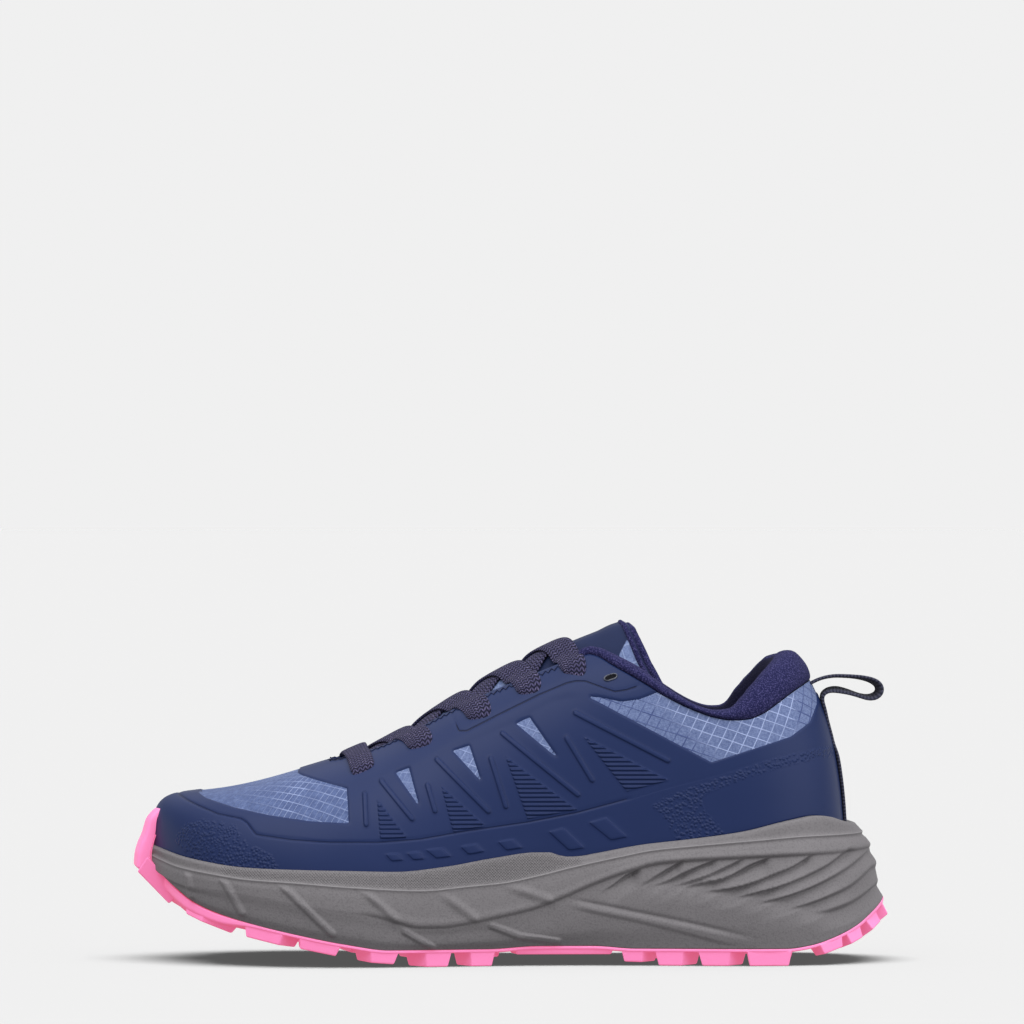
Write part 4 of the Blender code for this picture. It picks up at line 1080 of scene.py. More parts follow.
def build_upper():
    """Ripstop bootie: the last from the foot bed's edge up to its opening, moved out a little
    and given its wall inwards; both sides share the line where they close over the vamp."""
    w = ring_columns(360)
    cut = sections(w)
    top = reach(cut, opening(cut[0]))
    s = top[:, None] * np.linspace(0, 1, 72)
    points = points_at(cut, s)
    skin = points + outward(points, True) * UPPER_OUT
    close_ridge(skin, top, cut, -np.arange(len(w)) % len(w))
    faces = grid_faces(*s.shape, True)
    side = np.where(w < HALF, -1.0, 1.0)[:, None]
    down = (s - cut[1][:, -1:]) * side
    x, _, z = np.moveaxis(points, -1, 0)
    back = -np.minimum(w, PERIOD - w)[:, None]
    bow = ANKLE_BOW * np.maximum(back - BOW_START, 0) ** 2
    cos, sin = math.cos(VAMP_TURN), math.sin(VAMP_TURN)
    vamp = VAMP_GRID[0] * (cos * x + sin * down), VAMP_GRID[1] * (cos * down - sin * x)
    lean, climb = ANKLE_TURN
    ankle = (ANKLE_GRID * (math.cos(lean) * back + math.sin(lean) * z - bow),
             ANKLE_GRID * (math.sin(climb) * back + math.cos(climb) * z))
    u, v = (np.where(x < VAMP_END, a, b) for a, b in zip(vamp, ankle))
    uv = grid_uv(u, v, 0.0)
    piece = add_piece("upper_bootie", skin, faces, (RIPSTOP, LINING), ["upper"], uv, weld=0.04)
    return thicken(piece, WALL + UPPER_OUT, True)


def signed(x, z, run):
    """Distance to a line in the side view, negative below it."""
    return to_line(x, z, run) * np.where(z > np.interp(x, *zip(*run)), 1, -1)


def side_marks(x, z):
    """Distances in the side view to the forms pressed into the film, for its material."""
    bar = np.max([BAR_HALF - to_line(x, z, run) for run in BARS], axis=0)
    block = np.max([inside(x, z, corners) for corners in BLOCKS], axis=0)
    rib = np.max([inside(x, z, corners) for corners in RIBBED], axis=0)
    pebble = np.maximum(inside(x, z, TOE_PATCH), inside(x, z, HEEL_BAND))
    return {"bar": bar, "block": block, "rib": rib, "pebble": pebble,
            "groove": signed(x, z, EYESTAY_GROOVE), "seam": signed(x, z, GUARD_GROOVE)}


def pressed(marks):
    """Relief of the film in mm: bars, blocks and ribbed fields raised, grooves cut."""
    relief = BAR_RISE * fade(marks["bar"], -0.4, 0.6)
    relief += BLOCK_RISE * fade(marks["block"], -0.28, 0.42)
    relief += RIB_RISE * fade(marks["rib"], -0.24, 0.56)
    groove = np.minimum(np.abs(marks["groove"]), np.abs(marks["seam"]))
    return relief - GROOVE_DEPTH * np.exp(-(groove / GROOVE_HALF) ** 2)


def groove_share(x):
    """How deep the line between the lower and the upper film is cut, fading out at the heel."""
    return fade(x, *SEAM_FADE)


def build_lower_film():
    """Mudguard and heel counter in one film: the last between the midsole's rim and the line
    below the cage, with the patches and blocks pressed into it."""
    w = ring_columns(840)
    cut = sections(w)
    low = reach(cut, above(cut, lambda x: rim_z(x) - RIM_LAP))
    top = reach(cut, above(cut, lower_z))
    share = np.linspace(0, 1, 33)
    s = low[:, None] + (top - low)[:, None] * (1 - (1 - share) ** 1.25)
    points = points_at(cut, s)
    x, _, z = np.moveaxis(points, -1, 0)
    marks = side_marks(x, z)
    edge = top[:, None] - s
    out = FILM_OUT + pressed(marks) - SEAM_CUT * groove_share(x) * fade(edge, SEAM_WIDE, 0.0)
    out -= EDGE_SUNK * (1 - groove_share(x)) * fade(edge, EDGE_WIDE, 0.0)
    skin = points + outward(points, True) * out[..., None]
    piece = add_piece("mudguard_and_counter", skin, grid_faces(*s.shape, True), FILM,
                      ["toe_guard", "heel_counter"], marks=marks)
    return thicken(piece, FILM_THICK)


def cage_columns():
    """Columns of the cage: fine on the outer side, mirror images round the toe."""
    turn = HALF * 0.74
    lateral = np.linspace(0, turn, 320)[:-1]
    toe = np.linspace(turn, PERIOD - turn, 221)
    return np.concatenate([lateral, toe, np.linspace(PERIOD - turn, PERIOD, 320)[1:-1]])


def build_cage():
    """Side film with the eyestays: the last from the lower film to the opening; it sinks into
    the ripstop round each window, whose faces are left out."""
    w = cage_columns()
    cut = sections(w)
    low = reach(cut, above(cut, lower_z)) - FILM_LAP
    top = reach(cut, opening(cut[0]))
    s = low[:, None] + (top - low)[:, None] * np.linspace(0, 1, 74)
    points = points_at(cut, s)
    x, _, z = np.moveaxis(points, -1, 0)
    marks = side_marks(x, z)
    window = np.max([inside(x, z, corners) for corners in (VAMP_WINDOW, ANKLE_WINDOW) + TRIANGLES], axis=0)
    film = np.clip(true_distance(-window, points, True), -WINDOW_SUNK, FILM_RISE)
    edge = s - low[:, None] - FILM_LAP
    lift = SOFT_LIFT * fade(signed(x, z, SOFT_EDGE), -1.5, 1.5) * fade(x, -64, -56) * fade(x, 28, 20)
    out = UPPER_OUT + film + (pressed(marks) + lift) * fade(film, 0.0, FILM_RISE)
    out -= SEAM_CUT * groove_share(x) * fade(edge, SEAM_WIDE, 0.0) + 0.02 * fade(edge, 0.4, 0.0)
    skin = points + outward(points, True) * out[..., None]
    close_ridge(skin, top, cut, np.searchsorted(w, PERIOD - w - 1e-6) % len(w))
    faces = grid_faces(*s.shape, True)
    keep = film.ravel()[faces].max(1) > 0.05 - WINDOW_SUNK
    piece = add_piece("film_cage", skin, faces, FILM, ["side_cage"],
                      marks=marks, weld=0.002, keep=keep)
    return thicken(piece, FILM_THICK)


def shingles(x, z, crisp):
    """Overlapping blades of foam: below each crease the wall drops sharply and comes back evenly
    until the next crease; just above a crease it swells to a lip."""
    edges = []
    for crease in FIN_CREASES:
        start, end = crease[0][0] - 1.0, crease[-1][0]
        end = end - 3.0 if end < 112 else end
        edges.append((line(crease)(x), fade(x, start, start + 13.0) * fade(x, end + 4.0, end)))
    soft = crisp + 2.0 * fade(x, 98, 128)
    relief = np.zeros_like(x)
    for i, (edge, share) in enumerate(edges):
        gap = np.full_like(x, FIN_GAP)
        if i + 1 < len(edges):
            nearer = np.clip(edge - edges[i + 1][0], 1.8, FIN_GAP)
            gap += (nearer - gap) * edges[i + 1][1]
        below = edge - z
        past = fade(below, -soft / 2, soft / 2)
        lip = np.exp(-np.maximum(-below, 0) / 2.0) * (1 - past)
        drop = np.clip(FIN_SLOPE * gap, *FIN_DEPTH) * past * np.clip(1 - below / gap, 0, 1)
        relief += share * (FIN_LIP * lip - drop)
    return relief * (1 - 0.45 * fade(x, 114, 132))


def foam_relief(x, z, below, crisp):
    """Relief of the midsole wall in mm: flat-topped ribs, one long raised band, blades at the
    heel and a soft crease under the S line, all by distance to lines in the side view."""
    relief = shingles(x, z, crisp)
    for run in FOAM_RIBS:
        relief += FOAM_RIB_RISE * fade(to_line(x, z, run), *FOAM_RIB_SIDE)
    under, past = line(RIDGE_TOP)(x) - z, line(RIDGE_FOOT)(x) - z
    band = RIDGE_RISE * fade(under, 0.0, 2.2) * fade(past, 0.8, -0.8)
    band -= RIDGE_CREASE * np.exp(-(under / 0.8) ** 2)
    relief += band * fade(x, 19, 31) * fade(x, 92, 72)
    lip = STEP_LIP * np.exp(-(below + 1.0) ** 2)
    crease = STEP_CREASE * fade(below, -0.56, 1.04) * np.exp(-np.maximum(below, 0) / 4.0)
    return relief + (lip - crease) * fade(x, -60, -40) * (1 - 0.6 * fade(x, 96, 122))


def build_midsole():
    """Foam midsole: each column is a smooth profile from the plate's edge over belly, step and
    bead to the rim, with relief along the wall; the bottom and the cup close it."""
    w = np.concatenate([np.linspace(0, 0.4 * HALF, 290), np.linspace(0.4 * HALF, HALF, 291)[1:],
                        np.linspace(HALF, PERIOD, 291)[1:-1]])
    bx = edge_x(w)
    bottom = edge_point(w, wall_out["bottom"](w), 0.0)
    low = ground_z(bottom[:, 0])
    step = np.maximum(step_z(bx), low + 2.5)
    bead, rim = bead_z(bx), rim_z(bx)
    out = {name: wall_out[name](w) for name in WALL_COLUMNS}
    knots = np.array([0, 9, 22, 32, 34, 40, 46, 49, 52, 60, 64, 66.0])
    z_knots = np.stack([
        low, low + 0.28 * (step - low), low + 0.66 * (step - low), step - 0.7, step, (step + bead) / 2,
        bead - 0.8, bead, bead + 0.7, rim - 0.9, rim, rim - 0.2,
    ], 1)
    out_knots = np.stack([
        out["bottom"], out["bottom"] + 0.72 * (out["belly"] - out["bottom"]), out["belly"],
        out["step"] - 0.1, out["step"], (out["step"] + out["bead"]) / 2 + 0.15, out["bead"] - 0.05,
        out["bead"] + 0.2, out["bead"] - 0.45, out["rim"] + 0.5, out["rim"] - 0.7, np.full_like(w, CUP_OUT),
    ], 1)
    t = np.concatenate([np.linspace(0, 34, 76), np.linspace(35, 66, 27)])
    z = cubic_rows(knots, z_knots, t)
    away = cubic_rows(knots, out_knots, t)
    column = np.broadcast_to(w[:, None], z.shape)
    plain = edge_point(column, away, z)
    below = step[:, None] - z
    free = fade(t, 0, 3) * fade(t, 46, 41)
    crisp = np.where(w < HALF, 0.8, 1.8)[:, None]
    away = away + foam_relief(plain[..., 0], z, below, crisp) * free
    wall = edge_point(column, away, z)
    spine = spine_line(w)

    def floor(edge, height, share):
        """Row of the bottom or the cup: at a share of the way from the middle line to its edge."""
        flat = spine + (edge[:, :2] - spine) * share
        return np.concatenate([flat, height(flat[:, :1])], 1)

    inner = edge_point(w, np.full_like(w, CUP_OUT), bed_z(bx))
    under = [floor(wall[:, 0], ground_z, k) for k in (0.0, 0.35, 0.7, 0.9)]
    cup = [inner] + [floor(inner, bed_z, k) for k in (0.8, 0.4, 0.0)]
    grid = np.stack(under + [wall[:, k] for k in range(len(t))] + cup, 1)
    mark_rows = np.concatenate([np.full(4, -1.0), (t - 51) * (63 - t) / 6, np.full(4, -1.0)])
    window = fade(bx, -108, -96) * fade(bx, 28, 20)
    # rows at the bead line that get the foam's painted highlight
    bead_highlight_rows = np.concatenate([np.full(4, -1.0), 1 - np.abs(t - 49.3) / 1.5, np.full(4, -1.0)])
    marks = {"diamond": np.minimum(mark_rows[None, :], 2.0) * window[:, None],
             "bead": np.broadcast_to(bead_highlight_rows, (len(w), len(bead_highlight_rows)))}
    v = np.concatenate([np.zeros((len(w), 4)), z, np.zeros((len(w), 4))], 1)
    uv = grid_uv(np.broadcast_to(w[:, None], v.shape), v, PERIOD)
    return add_piece("midsole_foam", grid, grid_faces(*v.shape, True), FOAM, ["midsole"], uv,
                     marks, weld=0.002)


def build_insole():
    """Foot bed: a sheet of foam inside the upper, its edge turned up, dished at the heel."""
    w = ring_columns(240)
    spine = spine_line(w)
    edge = edge_point(w, -FOOT_BED_IN, 0.0)[:, :2]
    share, rise = np.array(FOOT_BED_ROWS).T
    flat = spine[:, None] + (edge - spine)[:, None] * share[:, None]
    z = bed_z(flat[..., 0]) + rise
    grid = np.concatenate([flat, z[..., None]], -1)
    faces = grid_faces(*z.shape, True)
    return add_piece("foot_bed", grid, faces, FOOT_BED, ["insole"], weld=0.002)


def top_edge(w, below):
    """Points a length below the upper's top edge, the upward direction along the section there,
    and the outward direction square to it and to the edge's travel."""
    cut = sections(np.mod(w, PERIOD))
    top = (reach(cut, opening(cut[0])) - below)[:, None]
    edge, lower = points_at(cut, top)[:, 0], points_at(cut, top - 2.0)[:, 0]
    up = unit(edge - lower)
    ahead, behind = (points_at(sections(np.mod(w + d, PERIOD)), top)[:, 0] for d in (0.5, -0.5))
    return edge, up, unit(np.cross(up, ahead - behind))


def round_loops(rings, count):
    """Closed smooth loops through rings of points: cubic runs whose slope at a point is half
    the step between its two neighbours."""
    before, after = np.roll(rings, 1, 1), np.roll(rings, -1, 1)
    slope = (after - before) / 2
    t = np.linspace(0, 1, count, endpoint=False)[:, None]
    a, b = rings[:, :, None], after[:, :, None]
    p, q = slope[:, :, None], np.roll(slope, -1, 1)[:, :, None]
    return hermite(t, a, b, p, q).reshape(len(rings), -1, 3)


def cap_ends(grid, depth):
    """Closes both ends of a tube of loops: the end loop shrinks on a quarter circle while it
    moves on by depth."""
    turn = np.linspace(0, math.pi / 2, 6)[1:]
    caps = []
    for end, inner in ((grid[0], grid[1]), (grid[-1], grid[-2])):
        centre = end.mean(0)
        ahead = unit(centre - inner.mean(0))
        scale = np.cos(turn)[:, None, None]
        caps.append(centre + (end - centre) * scale + ahead * (depth * np.sin(turn))[:, None, None])
    return np.concatenate([caps[0][::-1], grid, caps[1]])


def build_collar():
    """Padded collar: a rolled profile carried along the upper's top edge, its roll, pad and
    lining growing towards the heel."""
    fine = np.linspace(0, HALF, 2000)
    front = fine[np.nonzero(top_edge(fine, 0.0)[0][:, 0] > COLLAR_FRONT)[0].max()]
    w = np.linspace(-front, front, 300)
    edge, up, _ = top_edge(w, np.zeros_like(w))
    x = edge[:, 0]
    hump = np.where(w < 0, COLLAR_HUMP * fade(x, 78, 86) * fade(x, 110, 100), 0.0)
    roll, pad, drop = roll_height(x) + hump, pad_depth(x), lining_drop(x)
    inner = -(WALL + 0.7)
    profile = (
        (FILM_OUT - 0.4, 0.3 + 0 * x), (FILM_OUT + 0.9, roll * 0.22), (FILM_OUT + 0.8, roll * 0.55),
        (0.1 + 0 * x, roll * 0.93), (-pad * 0.45, roll * 1.05), (-pad * 0.9, roll * 0.72),
        (inner - pad, -drop * 0.15), (inner - pad * 0.9, -drop * 0.6), (inner - 1.0, -drop),
        (inner + 0.3, -drop * 0.95), (inner + 0.3, -drop * 0.4), (inner + 0.3, 0.3 + 0 * x),
    )
    rings = []
    for out, rise in profile:
        foot, _, away = top_edge(w, np.maximum(-rise, 0.0))
        out = np.broadcast_to(out, x.shape)
        rings.append(foot + away * out[:, None] + up * np.maximum(rise, 0.0)[:, None])
    grid = cap_ends(round_loops(np.stack(rings, 1), 4), 2.5)
    n, m = grid.shape[:2]
    loop = np.concatenate([grid, grid[:, :1]], 1)
    turn = np.append(np.arange(m), 0) / 4.0
    # where the collar's inner side starts, for the knit's painted shade
    marks = {"lining": np.broadcast_to(np.minimum(turn - 4.0, 11.0 - turn), (n, m + 1))[:, ::-1]}
    faces = grid_faces(n, m + 1, False)
    piece = add_piece("collar_pad", loop[:, ::-1], faces, KNIT, ["collar"],
                      marks=marks, weld=0.005)
    return piece


def surface_map(out):
    """Height of the last moved outwards by out, as a table over x and y: each line of equal
    turn is read at the stations of x, then each station across y."""
    turns = np.linspace(0.02, 1.0, 70)
    side = np.linspace(0.0, HALF, 160)
    xs, ys = np.linspace(-112, 62, 233), np.linspace(-46, 46, 185)
    lines_y, lines_z = [], []
    for columns in (side, PERIOD - side):
        w, t = np.meshgrid(columns, turns, indexing="ij")
        along = last_point(w + 0.3, t) - last_point(w - 0.3, t)
        up = last_point(w, np.clip(t + 0.004, 0, 1)) - last_point(w, t - 0.004)
        cloud = last_point(w, t) + out * unit(np.cross(up, along))
        for k in range(len(turns)):
            path = cloud[::-1, k]
            lines_y.append(np.interp(xs, path[:, 0], path[:, 1]))
            lines_z.append(np.interp(xs, path[:, 0], path[:, 2]))
    lines_y, lines_z = np.array(lines_y), np.array(lines_z)
    order = np.argsort(lines_y, axis=0)
    lines_y, lines_z = np.take_along_axis(lines_y, order, 0), np.take_along_axis(lines_z, order, 0)
    table = np.stack([np.interp(ys, lines_y[:, k], lines_z[:, k]) for k in range(len(xs))])

    def height(x, y):
        """The table read between its four nearest entries."""
        fx = np.clip((x - xs[0]) / (xs[1] - xs[0]), 0, len(xs) - 1.001)
        fy = np.clip((y - ys[0]) / (ys[1] - ys[0]), 0, len(ys) - 1.001)
        i, j = fx.astype(int), fy.astype(int)
        a, b = fx - i, fy - j
        low = table[i, j] * (1 - b) + table[i, j + 1] * b
        return low * (1 - a) + (table[i + 1, j] * (1 - b) + table[i + 1, j + 1] * b) * a

    return height


tongue_rows = np.array(TONGUE_ROWS, float)
tongue = {key: line(tongue_rows[:, [0, k]]) for k, key in enumerate(TONGUE_COLUMNS) if k}
inner_height = surface_map(-(WALL + GAP + TONGUE_UNDER))
collar_height = surface_map(-(WALL + GAP + COLLAR_UNDER))
film_height = surface_map(FILM_OUT)


def tongue_rise(x, y):
    """Height of the padded tongue above its resting depth: a parabola across the open throat."""
    free = throat_half(x) - 0.8
    return tongue["lift"](x) * np.clip(1 - ((y - throat_middle(x)) / np.maximum(free, 0.5)) ** 2, 0, None)


def tongue_sheet(x, share):
    """Middle surface of the tongue at its stations x and at shares of its half width, with its
    thickness there: held down beside the throat, set back at its edges."""
    half, back, thick = (tongue[key](x) for key in ("half", "back", "thick"))
    px = x + back * share ** 2
    py = throat_middle(px) + half * share
    hold = np.interp(x, HELD_STATIONS, (0, 1)) * np.interp(half * np.abs(share), HELD_SIDES, (0, 1))
    rest = inner_height(px, py) * (1 - hold) + collar_height(px, py) * hold
    return np.stack([px, py, rest + tongue_rise(px, py) - thick / 2], -1), thick


def tongue_taper(share):
    """Part of the tongue's thickness at a share of its half width: an ellipse that ends bluntly."""
    return 0.4 + 0.6 * np.sqrt(1 - (share * 0.96) ** 2)


def build_tongue():
    """Padded tongue: a flat oval carried from the vamp to the top, with a rounded top end."""
    body = np.linspace(TONGUE_ROWS[0][0], TONGUE_TOP - TONGUE_END, 156)
    tip = TONGUE_TOP - TONGUE_END * (1 - np.sin(np.linspace(0.15, 1, 10) * math.pi / 2))
    a = np.linspace(0, 2 * math.pi, 97)
    stations, turn = np.meshgrid(np.concatenate([body, tip]), a, indexing="ij")
    share = bulge(np.cos(turn), 0.75)
    grid, thick = tongue_sheet(stations, share)
    past = (stations - TONGUE_ROUND[0]).clip(0) / TONGUE_ROUND[1]
    end = np.sqrt(np.clip(1 - past ** 2, 0.01, 1))
    grid[..., 2] += thick / 2 * end * tongue_taper(share) * bulge(np.sin(turn), 0.6)
    corner = inside(grid[..., 0], grid[..., 2], TONGUE_MESH)
    marks = {"navy": grid[..., 0] - TONGUE_NAVY, "mesh": np.minimum(corner, MESH_END - stations)}
    uv = grid_uv(share * TONGUE_FLAT, stations)
    faces = grid_faces(*share.shape, False)
    piece = add_piece("tongue_pad", grid, faces, TONGUE, ["tongue"], uv, marks, weld=0.005)
    share = np.linspace(-0.98, 0.98, 90)
    for name, station, lift, radius in TONGUE_CORDS:
        path, _ = tongue_sheet(np.full_like(share, station), share)
        path[:, 2] += lift * tongue_taper(share)
        tube(name, path, radius, KNIT)
    return piece


def tube(name, path, radius, material):
    """Round cord: circles square to a path, closed at both ends."""
    across = radius * unit(np.cross(np.gradient(path, axis=0), (0.3, 0.0, 1.0)))
    return ribbon(name, path + across, path - across, 2 * radius, material, (), 2.0)


def build_stitches():
    """Zigzag thread beside the throat's edge on both eyestays: its corners lie in turn near and
    away from the edge, on the film."""
    fine = np.linspace(0, HALF, 3000)
    edge = top_edge(fine, 0.0 * fine)[0]
    run = run_along(edge)
    throat = np.nonzero((edge[:, 0] > STITCH_ENDS[0]) & (edge[:, 0] < STITCH_ENDS[1]))[0]
    spots = np.interp(np.arange(run[throat[0]], run[throat[-1]], STITCH / 2), run, fine)
    for name, w in (("eyestay_stitch_lateral", spots), ("eyestay_stitch_medial", PERIOD - spots)):
        below = np.where(np.arange(len(w)) % 2, *STITCH_ROWS)
        foot, _, away = top_edge(w, below)
        tube(name, foot + away * (FILM_OUT + 0.4), STITCH_CORD, THREAD)


def build_spare_eyelets():
    """The empty top eyelet of each side: a slotted rim on the film round a dark floor that is painted shade
    for the hole, both drawn in the surface's own plane, leaning up towards the heel."""
    w, turn = np.meshgrid(np.linspace(0, HALF, 900), np.linspace(0.2, 1, 400), indexing="ij")
    cloud = last_point(w, turn)
    away = np.hypot(cloud[..., 0] - SLOT[0], cloud[..., 2] - SLOT[1])
    spot = np.unravel_index(np.argmin(away), w.shape)
    for side, word in ((1, "lateral"), (-1, "medial")):
        here = w[spot] if side > 0 else PERIOD - w[spot]
        at = last_point(here, turn[spot])
        du = last_point(here + 0.3, turn[spot]) - last_point(here - 0.3, turn[spot])
        dv = last_point(here, turn[spot] + 0.004) - last_point(here, turn[spot] - 0.004)
        normal = unit(np.cross(dv, du))
        along = np.array([math.cos(SLOT_LEAN), 0.0, math.sin(SLOT_LEAN)])
        along = unit(along - normal * (along @ normal))
        across = np.cross(normal, along)
        a = np.linspace(0, 2 * math.pi, 49)
        far = SLOT_HALF * np.cos(a) + SLOT_STRAIGHT * bulge(np.cos(a), 0.3)
        slot = along * far[:, None] + across * (SLOT_HALF * np.sin(a))[:, None]
        middle = at + normal * (FILM_OUT + 0.25)
        tube("eyelet_rim_" + word, middle + slot, SLOT_RIM, RIM)
        # painted shade: a near black disc stands for the shade inside the hole
        disc = middle + slot[:, None] * np.linspace(0.0, 1.0, 5)[None, :, None] - normal * 0.02
        add_piece("eyelet_floor_" + word, disc, grid_faces(49, 5, False), HOLE, weld=0.005)


def ribbon(name, left, right, thick, material, nodes, edge=3.0):
    """Flat strip with rounded edges: a squarish oval of the strip's width and thickness carried
    along its two edges, closed at both ends."""
    middle, across = (left + right) / 2, (left - right) / 2
    face = unit(np.cross(np.gradient(middle, axis=0), across))
    a = np.linspace(0, 2 * math.pi, 28, endpoint=False)
    wide = bulge(np.cos(a), 2 / edge)
    tall = bulge(np.sin(a), 2 / edge) * thick / 2
    grid = middle[:, None] + across[:, None] * wide[:, None] + face[:, None] * tall[:, None]
    run = run_along(middle)
    grid = cap_ends(grid, thick * 0.4)
    run = np.concatenate([np.full(5, run[0]), run, np.full(5, run[-1])])
    n, m = grid.shape[:2]
    loop = np.concatenate([grid, grid[:, :1]], 1)
    half = np.linalg.norm(across, axis=1).mean()
    v = np.broadcast_to(np.append(wide, wide[0]) * half, (n, m + 1))
    uv = grid_uv(np.broadcast_to(run[:, None], v.shape), v)
    return add_piece(name, loop, grid_faces(n, m + 1, False), material, nodes, uv, weld=0.005)


def eyelet(i, side):
    """Plan place of an eyelet: side -1 is the lateral one, +1 its mirror image in the throat."""
    x, y = EYELETS[i]
    return np.array([x, y if side < 0 else 2 * throat_middle(x) - y - 1.0])


def lace_height(x, y, over):
    """Height of a lace's middle: on the film outside the throat, on the tongue inside it."""
    out = np.abs(y - throat_middle(x)) - throat_half(x)
    film = film_height(x, y) + LACE_THICK / 2 + 0.1
    pad = inner_height(x, y) + tongue_rise(x, y) + LACE_THICK / 2 + 0.4 + over
    share = fade(out, -2.4, 0.6)
    return np.maximum(film * share + pad * (1 - share), np.where(out > -1.0, film, pad))


def smooth(values, times):
    """Values along a path evened out by repeated three-point means, ends kept."""
    for _ in range(times):
        values = np.concatenate([values[:1], (values[:-2] + 2 * values[1:-1] + values[2:]) / 4, values[-1:]])
    return values


def lace_end(away):
    """Narrowing and dive of a lace at a distance from its end: a rounded tip, sunk through the film."""
    narrow = (1 - 0.9 * np.clip(1 - away / LACE_ROUND, 0, 1) ** 3) ** 0.5
    return narrow, LACE_DIVE * fade(away, LACE_DIVE, 0.0) ** 2


def lace_strip(name, start, end, over, nodes, sunk_start=False):
    """One run of lace over the throat: in plan it turns a little towards its end, its height
    follows what it lies on, and an end at an eyelet dives through the film."""
    t = np.linspace(0, 1, 90)
    middle = start + (end - start) * np.stack([1 - (1 - t) ** 1.4 if sunk_start else t ** 1.8, t], 1)
    end = middle[-1] + LACE_PAST * unit(middle[-1] - middle[-2])
    middle = middle + (end - middle[-1]) * t[:, None] ** 2
    run = unit(np.gradient(middle, axis=0))
    square_to = np.stack([-run[:, 1], run[:, 0]], 1) * LACE_WIDTH / 2
    from_start = t * np.linalg.norm(end - start)
    to_end = from_start[-1] - from_start
    narrow, dive = lace_end(to_end)
    if sunk_start:
        dive = dive + LACE_SUNK[0] * fade(from_start, LACE_SUNK[1], 0.0)
    else:
        other_narrow, other_dive = lace_end(from_start)
        narrow, dive = narrow * other_narrow, dive + other_dive
    edges = []
    slant = LACE_SLANT * fade(to_end, 7.0, 0.0) * np.sign(square_to[-1, 0]) * sunk_start
    for side in (1, -1):
        plan = middle + side * (square_to * narrow[:, None] + run * slant[:, None])
        z = smooth(lace_height(plan[:, 0], plan[:, 1], over), 14) - dive
        edges.append(np.concatenate([plan, z[:, None]], 1))
    return ribbon(name, edges[0], edges[1], LACE_THICK, LACE, nodes)


def build_laces():
    """A straight bar at the first eyelets, then four crossings, each from under one eyestay to
    the next eyelet on the other side."""
    lace_strip("lace_front_bar", eyelet(0, 1) - (BAR_SLOPE, 0), eyelet(0, -1), BAR_LIFT, ["lace_bar"])
    for i in range(4):
        for side, over, word in ((-1, 0.0, "a"), (1, CROSS_LIFT, "b")):
            x = max(EYELETS[i][0] - RUN_BACK, RUN_FIRST)
            start = np.array([x, throat_middle(x) + side * (throat_half(x) + RUN_BESIDE)])
            lace_strip("lace_run_%d%s" % (i + 1, word), start, eyelet(i + 1, -side), over,
                       ["lace_cross_%d" % (i + 1)], True)


def build_loop():
    """Heel tape and pull loop: one webbing strip up the heel's middle and round the loop's path."""
    cut = sections(np.array([0.0]))
    low = reach(cut, above(cut, lambda x: rim_z(x) + TAPE_START))[0]
    high = reach(cut, above(cut, level(LOOP_FOOT)))[0]
    tape = points_at(cut, np.linspace(low, high, 24)[None])[0]
    travel = np.gradient(tape, axis=0)
    normal = unit(np.stack([travel[:, 2], 0 * travel[:, 2], -travel[:, 0]], -1))
    tape = tape + normal * (FILM_OUT + LOOP_THICK / 2 - TAPE_SUNK)
    bend = np.array([(x, 0.0, z) for x, z in LOOP_PATH])
    path = np.concatenate([tape, bend])
    run = run_along(path)
    fine = np.linspace(0, run[-1], 200)
    path = np.stack([smooth(np.interp(fine, run, path[:, k]), 12) for k in range(3)], 1)
    x, _, z = path.T
    low_roll, high_roll = (np.interp(x, *zip(*rows)) for rows in (LOOP_ROLL_LOW, LOOP_ROLL_HIGH))
    roll = np.where(z < LOOP_MIDDLE, low_roll, high_roll)
    roll = np.where((x < LOOP_FLAT[0]) & (z < LOOP_FLAT[1]), 0.0, roll)
    roll = np.radians(smooth(roll, 20))[:, None]
    across = np.array([0.0, 1.0, 0.0])
    face = np.cross(unit(np.gradient(path, axis=0)), across)
    half = LOOP_WIDTH / 2 * (across * np.cos(roll) + face * np.sin(roll))
    return ribbon("pull_loop_webbing", path + half, path - half, LOOP_THICK, WEBBING,
                  ["pull_loop"], 5.0)


def box_corners(x, y, length, width, turn, tall, lean, side):
    """Eight corners of tapered lugs under the plate: blocks slanted in plan from their outer face
    inwards, turned, tilted with the ground line and stopped at the floor."""
    x, y, length, width, turn, tall, lean, side = (
        np.asarray(v, float)[:, None] for v in (x, y, length, width, turn, tall, lean, side))
    slope = np.arctan2(ground_z(x + 1) - ground_z(x - 1), 2.0)
    cx = np.array([-1, 1, 1, -1, -1, 1, 1, -1]) / 2
    cy = np.array([-1, -1, 1, 1, -1, -1, 1, 1]) / 2
    foot = np.array([1, 1, 1, 1, 0, 0, 0, 0.0])
    by = cy * width * (1 - LUG_NARROW * foot)
    bx = cx * length * (1 - np.minimum(LUG_SHORT, LUG_SHORT_MOST / length) * foot)
    bx = bx + lean * (by * side + width / 2)
    bz = LUG_ROOT - foot * (LUG_ROOT + tall)
    px, py = bx * np.cos(turn) - by * np.sin(turn), bx * np.sin(turn) + by * np.cos(turn)
    rx, rz = px * np.cos(slope) - bz * np.sin(slope), px * np.sin(slope) + bz * np.cos(slope)
    root = ground_z(x) - GAP - PLATE
    return np.stack([x + rx, y + py, np.maximum(root + rz, 0.0)], -1)


